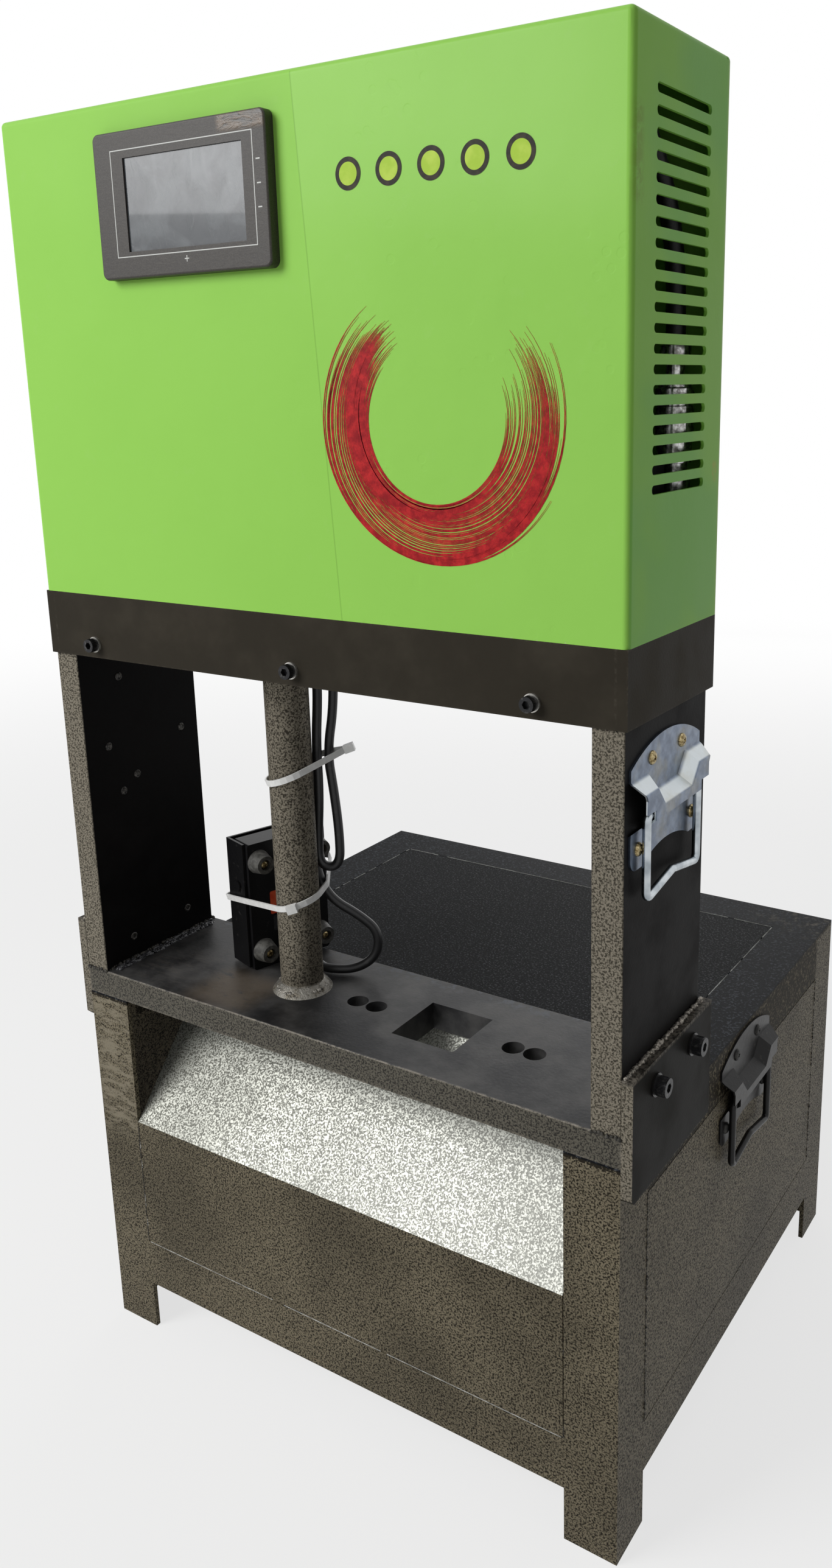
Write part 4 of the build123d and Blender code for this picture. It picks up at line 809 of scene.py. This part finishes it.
def makeKnurls(settings):
    material = nodes["cap_screws"].data.materials[0]
    for label in ("bracket", "beam"):
        size = settings[label]
        wedge = size["radius"] * pi / size["ridges"] * 0.5
        root, crest = size["radius"] - settings["sunk"], size["radius"] + settings["proud"]
        ridge = [Vector((reach, side, z)) for z in (size["low"], size["high"])
                 for reach, side in ((root, -wedge), (crest, 0), (root, wedge))]
        rim = bmesh.new()
        for step in range(size["ridges"]):
            turn = Matrix.Rotation(2 * pi * step / size["ridges"], 3, "Z")
            corners = [rim.verts.new(turn @ corner) for corner in ridge]
            for face in ((0, 1, 4, 3), (1, 2, 5, 4), (0, 2, 1), (3, 4, 5), (0, 3, 5, 2)):
                rim.faces.new([corners[index] for index in face])
        bmesh.ops.recalc_face_normals(rim, faces=list(rim.faces))
        shape, seats = meshOf(label + "Knurl", rim), settings[label + "Seats"]
        name, spin, seed = label + "ScrewKnurls", settings["spin"], settings["seed"]
        scatterPieces(name, shape, seats, spin, seed, material)


makeKnurls(knurlSettings)

# coupler of the return line, behind the lower vents: a turned stack on a short elbow from the port block
couplerSettings = {
    "place": (0.2270, -0.1090),
    "stack": (  # height and radius, in millimetres
        (736, 0), (736, 10.5), (748, 10.5), (748.5, 8.8), (756, 8.8), (756.5, 11.2), (770.5, 11.2), (771.5, 12.6),
        (781, 12.6), (781.8, 11.2), (782.8, 11.2), (783.6, 12.6), (791, 12.6), (791.8, 11.2), (792.8, 11.2),
        (793.6, 12.6), (802, 12.6), (803, 10.4), (807.5, 10.4), (808, 6), (818, 6), (818.5, 9.8), (828, 9.8),
        (829, 0),
    ),
    "steps": 56,
    "elbow": ((-0.1380, 0.7290), (-0.0965, 0.7365)),
    "elbowHalf": 0.0090,
    "elbowEdge": 0.0008,
    "hose": ((0.2270, -0.1090, 0.8270), (0.2270, -0.1090, 0.8600), (0.2250, -0.1130, 0.9000),
             (0.2190, -0.1260, 0.9400), (0.2165, -0.1400, 0.9550)),
    "hoseRadius": 0.0062,
    "hoseRoundness": 4,
}


def makeCoupler(settings):
    steel = plainFinish("turnedSteel", (120, 118, 114), (226, 226, 224), 0.004, 0.9, 0.16, 0.00003)
    x, y = settings["place"]
    profile = [(radius / 1000, height / 1000) for height, radius in reversed(settings["stack"])]
    stack = lathe("returnCoupler", profile, settings["steps"])
    stack.transform(Matrix.Translation((x, y, 0)))
    elbow = bmesh.new()
    cube = bmesh.ops.create_cube(elbow, size=1)["verts"]
    (y0, z0), (y1, z1) = settings["elbow"]
    bmesh.ops.scale(elbow, vec=(settings["elbowHalf"] * 2, y1 - y0, z1 - z0), verts=cube)
    bmesh.ops.translate(elbow, vec=(x, (y0 + y1) / 2, (z0 + z1) / 2), verts=cube)
    bmesh.ops.bevel(elbow, geom=list(elbow.edges), offset=settings["elbowEdge"], segments=2, affect="EDGES")
    line = tube("returnHoseLine", settings["hose"], settings["hoseRadius"], settings["hoseRoundness"])
    hose = evaluatedMesh(line)
    bpy.data.objects.remove(line)
    rubber = nodes["pressure_hose"].data.materials[0]
    for name, mesh, material, slot in (("returnCoupler", stack, steel, "chrome"),
                                       ("returnElbow", meshOf("returnElbow", elbow), steel, "chrome"),
                                       ("returnHose", hose, rubber, "hose_rubber")):
        mesh.materials.clear()
        mesh.materials.append(material)
        addPiece(name, mesh)


makeCoupler(couplerSettings)

# weld beads; their lines run from point to point
weldSettings = {
    "post": {"radius": 0.0023, "step": 0.0019, "wander": 0.0004, "seed": 3},
    "upright": {"radius": 0.0017, "step": 0.0024, "wander": 0.0006, "seed": 5},
    "foot": {"radius": 0.0021, "step": 0.0030, "wander": 0.0005, "seed": 13},
    "bracket": {"radius": 0.0021, "step": 0.0019, "wander": 0.0006, "seed": 7},
    "seam": {"radius": 0.0008, "step": 0.0016, "wander": 0.0004, "seed": 11},
    "ring": (-0.0665, -0.1569, 0.3402),
    "ringRadius": 0.0196,
    "ringSteps": 48,
    "footRows": (0.2240, 0.2212, 0.2186),
    "sheetEdges": (-0.1761, 0.1861),
}


def mirrored(*lines):  # on the left side, then on the right one
    return [[(side * x, y, z) for x, y, z in line] for side in (-1, 1) for line in lines]


def weldLines(settings):
    x, y, z = settings["ring"]
    turns = [2 * pi * step / settings["ringSteps"] for step in range(settings["ringSteps"])]
    ring = [(x + settings["ringRadius"] * cos(turn), y + settings["ringRadius"] * sin(turn), z) for turn in turns]
    lines = {"post": [ring + ring[:1]]}
    lines["upright"] = mirrored(((0.2255, -0.2150, 0.3385), (0.2255, -0.1000, 0.3385)))
    lines["upright"] += mirrored(((0.2270, -0.2188, 0.3382), (0.2465, -0.2188, 0.3380)))
    lines["upright"] += mirrored(((0.2465, -0.0945, 0.3385), (0.2265, -0.0945, 0.3385)))
    lines["foot"] = [[(-offset, -0.2130 + offset * 0.01, 0.3377), (-offset, -0.1000, 0.3377)]
                     for offset in settings["footRows"]]
    lines["bracket"] = mirrored(((0.2490, -0.2160, 0.3800), (0.2490, -0.0920, 0.3802)))
    sheets = [((0.2474, edge, 0.0900), (0.2474, edge, 0.2720)) for edge in settings["sheetEdges"]]
    lines["seam"] = mirrored(*sheets, ((0.2290, -0.2184, 0.6078), (0.2440, -0.2184, 0.6078)))
    lines["seam"] += [
        [(0.2053, -0.2183, 0.0870), (0.2053, -0.2183, 0.0960)],
        [(0.2053, -0.2183, 0.1560), (0.2053, -0.2183, 0.1600)],
        [(-0.2053, -0.2183, 0.0890), (-0.2053, -0.2183, 0.1980)],
        [(-0.2053, -0.2160, 0.2040), (-0.2053, -0.2080, 0.2120)],
    ]
    return lines


def makeWelds(settings):
    painted = plainFinish("paintedWeld", (38, 37, 35), (86, 83, 76), 0.0022, 0.25, 0.42, 0.0003)
    materials = {
        "post": plainFinish("bareWeld", (74, 71, 66), (158, 154, 146), 0.004, 0.5, 0.38, 0.0004),
        "upright": painted,
        "foot": plainFinish("greyWeld", (34, 34, 37), (104, 104, 106), 0.003, 0.4, 0.36, 0.0005),
        "bracket": plainFinish("scrapedWeld", (88, 84, 78), (180, 173, 162), 0.0020, 0.45, 0.42, 0.0004),
        "seam": painted,
    }
    for label, paths in weldLines(settings).items():
        vertices, edges = [], []
        for path in paths:
            start = len(vertices)
            vertices += path
            edges += [(start + index, start + index + 1) for index in range(len(path) - 1)]
        values = {name.capitalize(): value for name, value in settings[label].items()}
        values["Material"] = materials[label]
        grow(label + "Weld", meshFrom(label + "Line", vertices, (), edges), bead, values)


makeWelds(weldSettings)

# plug welds on the left upright's inner face
plugSettings = {
    "face": -0.2255,
    "places": ((-0.1787, 0.5821), (-0.1950, 0.5269), (-0.1679, 0.4966), (-0.1835, 0.4860), (-0.1152, 0.5246),
               (-0.1243, 0.3597), (-0.1869, 0.3575)),
    "profile": ((0.0000, 0.0002), (0.0016, 0.0002), (0.0021, 0.0007), (0.0028, 0.0008), (0.0034, 0.0003),
                (0.0036, -0.0004), (0.0000, -0.0004)),
    "spin": 3.0,
    "seed": 6,
}


def makePlugs(settings):
    black = plainFinish("plugWeld", (26, 26, 26), (96, 93, 88), 0.0018, 0.3, 0.30, 0.0003)
    places = [((settings["face"], y, z), (1, 0, 0)) for y, z in settings["places"]]
    shape = lathe("plugShape", settings["profile"], 20)
    scatterPieces("plugWelds", shape, places, settings["spin"], settings["seed"], black)


makePlugs(plugSettings)
print("welds laid")

# pale filler in the open seams: start, end, the face's direction and the share of the seam that is filled
seamSettings = {
    "width": 0.0009,
    "proud": 0.0003,
    "sunk": 0.0008,
    "step": 0.006,
    "widths": (0.32, 0.52),
    "rises": (0.4, 1),
    "seed": 9,
    "runs": (
        ((-0.2035, -0.2185, 0.0869), (0.2035, -0.2185, 0.0869), (0, -1, 0), 0.97),
        ((-0.2040, 0.1861, 0.3160), (0.2040, 0.1861, 0.3160), (0, 0, 1), 0.95),
        ((0.2051, 0.1850, 0.3160), (0.2051, -0.0900, 0.3160), (0, 0, 1), 0.85),
        ((-0.2051, 0.1850, 0.3160), (-0.2051, -0.0900, 0.3160), (0, 0, 1), 0.55),
        ((-0.2050, -0.2185, 0.0900), (-0.2050, -0.2185, 0.1850), (0, -1, 0), 0.25),
    ),
}


def makeSeams(settings):
    chance = random.Random(settings["seed"])
    finish = plainFinish("seamFiller", (150, 150, 146), (206, 206, 202), 0.004, 0.0, 0.6, 0.0001)
    shape = bmesh.new()
    for start, end, out, share in settings["runs"]:
        start, end, out = Vector(start), Vector(end), Vector(out)
        along = end - start
        length, along = along.length, along.normalized()
        across = along.cross(out)
        count = int(length / settings["step"])
        for index in range(count):
            if chance.random() > share:
                continue
            half = across * settings["width"] * chance.uniform(*settings["widths"])
            lift = out * settings["proud"] * chance.uniform(*settings["rises"])
            corners = []
            for place in (index, index + 1):
                centre = start + along * (place * length / count)
                corners += [centre - half, centre + lift, centre + half, centre - out * settings["sunk"]]
            points = [shape.verts.new(corner) for corner in corners]
            for a in range(4):
                b = (a + 1) % 4
                shape.faces.new((points[a], points[b], points[b + 4], points[a + 4]))
            shape.faces.new(points[:4])
            shape.faces.new(points[4:][::-1])
    bmesh.ops.recalc_face_normals(shape, faces=list(shape.faces))
    addShape("seamFiller", shape, finish)


makeSeams(seamSettings)

# plain labels on the foot switch's base: middle, height, width and rise, in millimetres
labelSettings = {
    "orange": (29, 55, 17, 20),
    "dark": (31, 36.5, 17, 13.5),
    "corner": 1.5,
    "gap": 0.02,
    "thickness": 0.12,
}


def makeLabels(settings):
    grain = (0.002, 2, 0.00004)
    finishes = {
        "orange": toned("orangeLabel", (226, 74, 34), (236, 96, 52), (0.006, 3), (0.4, 0.7), grain, 0.42),
        "dark": toned("darkLabel", (26, 26, 28), (48, 48, 50), (0.004, 3), (0.4, 0.7), grain, 0.3),
    }
    bend = settings["corner"]
    for name, finish in finishes.items():
        middle, up, width, height = settings[name]
        shape = bmesh.new()
        corners = []
        for quarter, (cx, cz) in enumerate(((1, 1), (-1, 1), (-1, -1), (1, -1))):
            for step in range(5):
                a = (quarter + step / 4) * pi / 2
                corners.append((middle + cx * (width / 2 - bend) + bend * cos(a),
                                up + cz * (height / 2 - bend) + bend * sin(a)))
        face = shape.faces.new([shape.verts.new(onSwitch(x, settings["gap"], z)) for x, z in corners])
        lifted = bmesh.ops.extrude_face_region(shape, geom=[face])["geom"]
        bmesh.ops.translate(shape, verts=[v for v in lifted if isinstance(v, bmesh.types.BMVert)],
                            vec=switchOut * settings["thickness"] / 1000)
        bmesh.ops.recalc_face_normals(shape, faces=list(shape.faces))
        addShape(name + "Label", shape, finish.material)


makeLabels(labelSettings)
print("labels laid, left plain")

# printed design on the front: a brushed arc and plain discs
designSettings = {
    "front": -0.22055,
    "lift": 0.00012,
    "centre": (0.122, 0.786),
    "inner": 0.050,
    "outer": 0.084,
    "start": 118,
    "end": 405,
    "bristles": 64,
    "steps": 44,
    "discs": 5,
    "discRadius": 0.0095,
    "discGap": 0.030,
    "discHeight": 0.930,
    "discSides": 40,
    "paleShare": 0.70,
    "paleLift": 0.00004,
    "seed": 21,
}


def brushedArc(settings, y):
    chance = random.Random(settings["seed"])
    cx, cz = settings["centre"]
    steps = settings["steps"]
    pitch = (settings["outer"] - settings["inner"]) / settings["bristles"]
    vertices, faces = [], []
    for bristle in range(settings["bristles"]):
        radius = settings["inner"] + (bristle + 0.5) * pitch
        share = abs(bristle / (settings["bristles"] - 1) - 0.45) * 2  # the outer bristles run dry sooner
        first = settings["start"] + chance.uniform(0, 10) + share * chance.uniform(0, 34)
        last = settings["end"] - chance.uniform(0, 16) - share * chance.uniform(0, 70)
        offset = len(vertices)
        for step in range(steps + 1):
            part = step / steps
            a = radians(first + (last - first) * part)
            swell = min(1, part * 9, (1 - part) * 5)
            half = pitch * (0.12 + 0.52 * swell)
            drift = 0.0022 * sin(part * 5 + bristle * 0.11) + (radius - settings["inner"]) * 0.25 * part
            for r in (radius + drift - half, radius + drift + half):
                vertices.append((cx + r * cos(a), y - 0.00002 * (bristle % 2), cz + r * sin(a)))
        faces += [(offset + 2 * s, offset + 2 * s + 1, offset + 2 * s + 3, offset + 2 * s + 2) for s in range(steps)]
    return meshFrom("brushedArc", vertices, faces)


def discRow(settings, name, size, y):
    sides = settings["discSides"]
    turns = [2 * pi * index / sides for index in range(sides)]
    vertices, faces = [], []
    for disc in range(settings["discs"]):
        x = settings["centre"][0] + (disc - settings["discs"] / 2 + 0.5) * settings["discGap"]
        faces.append(tuple(range(len(vertices), len(vertices) + sides)))
        vertices += [(x + size * cos(turn), y, settings["discHeight"] + size * sin(turn)) for turn in turns]
    return meshFrom(name, vertices, faces)


def makeDesign(settings):
    y = settings["front"] - settings["lift"]
    grain = (0.0018, 2, 0.00003)
    red = toned("redPrint", (150, 18, 28), (206, 44, 46), (0.006, 5, 0.7), (0.35, 0.7), grain, 0.4, specular=0.16)
    dark = toned("darkPrint", (36, 34, 26), (58, 52, 40), (0.004, 3), (0.4, 0.7), grain, 0.4, specular=0.12)
    pale = toned("palePrint", (176, 214, 62), (196, 226, 84), (0.01, 3), (0.4, 0.7), grain, 0.4, specular=0.16)
    rim, size = settings["discRadius"], settings["discRadius"] * settings["paleShare"]
    for mesh, finish in ((brushedArc(settings, y), red), (discRow(settings, "discRims", rim, y), dark),
                         (discRow(settings, "discs", size, y - settings["paleLift"]), pale)):
        shape = bmesh.new()
        shape.from_mesh(mesh)
        name = mesh.name
        bpy.data.meshes.remove(mesh)
        for face in shape.faces:
            face.normal_update()
            if face.normal.y > 0:
                face.normal_flip()
        addShape(name, shape, finish.material)


makeDesign(designSettings)
print("front design laid")

# stage; the lights are given as place, target, size and power
stageSettings = {
    "floor": (0.82, 0.82, 0.81),
    "floorReach": 8,
    "floorLift": 0.72,
    "horizon": (1.0, 3.6),
    "keyLight": ((-1.5, -2.3, 2.0), (0, 0, 0.55), 1.6, 60),
    "sideLight": ((2.6, -0.9, 1.3), (0, 0, 0.5), 1.8, 0.2),
    "topLight": ((0.1, 0.5, 2.9), (0, 0, 0.4), 1.8, 5),
    "backLight": ((-0.9, 2.9, 0.9), (0, 0, 0.5), 1.6, 13),
    "world": 0.17,
}


def seenRays(tree):  # rays from the camera, a mirror or clear matter, which show the backdrop white
    paths = tree.add("ShaderNodeLightPath")
    return paths.greater(paths.output("Is Glossy Ray")).greater(paths.output("Is Transmission Ray"))


def makeStage(settings):
    reach = settings["floorReach"]
    corners = [(-reach, -reach, 0), (reach, -reach, 0), (reach, reach, 0), (-reach, reach, 0)]
    floor = makeObject("studioFloor", meshFrom("studioFloor", corners, [(0, 1, 2, 3)]))
    finish = Finish("paleFloor", rough=0.9, specular=0.1, colour=settings["floor"])
    away = (finish.x * finish.x + finish.y * finish.y) ** 0.5
    floorLift = settings["floorLift"]
    lift = seenRays(finish) * (floorLift + (1 - floorLift) * away.fade(*settings["horizon"]))
    white = finish.add("ShaderNodeEmission", {"Color": (1, 1, 1, 1), "Strength": 1.0})
    body = Wire(finish, finish.shader.outputs[0])
    pale = finish.add("ShaderNodeMixShader", {0: lift, 1: body, 2: white})
    output = finish.tree.nodes["Material Output"]
    finish.tree.links.new(pale.socket, output.inputs["Surface"])
    floor.data.materials.append(finish.material)
    for name in ("keyLight", "sideLight", "topLight", "backLight"):
        place, target, size, power = settings[name]
        data = bpy.data.lights.new(name, "AREA")
        data.size, data.energy = size, power
        light = makeObject(name, data)
        light.location = place
        light.rotation_euler = (Vector(target) - Vector(place)).to_track_quat("-Z", "Y").to_euler()
    world = bpy.data.worlds.new("studioWorld")
    scene.world = world
    world.use_nodes = True
    surface = world.node_tree.nodes["Background"]
    level = seenRays(Tree(world.node_tree)) * (1 - settings["world"]) + settings["world"]
    world.node_tree.links.new(level.socket, surface.inputs["Strength"])
    surface.inputs["Color"].default_value = (1, 1, 1, 1)


makeStage(stageSettings)
print("stage lit")
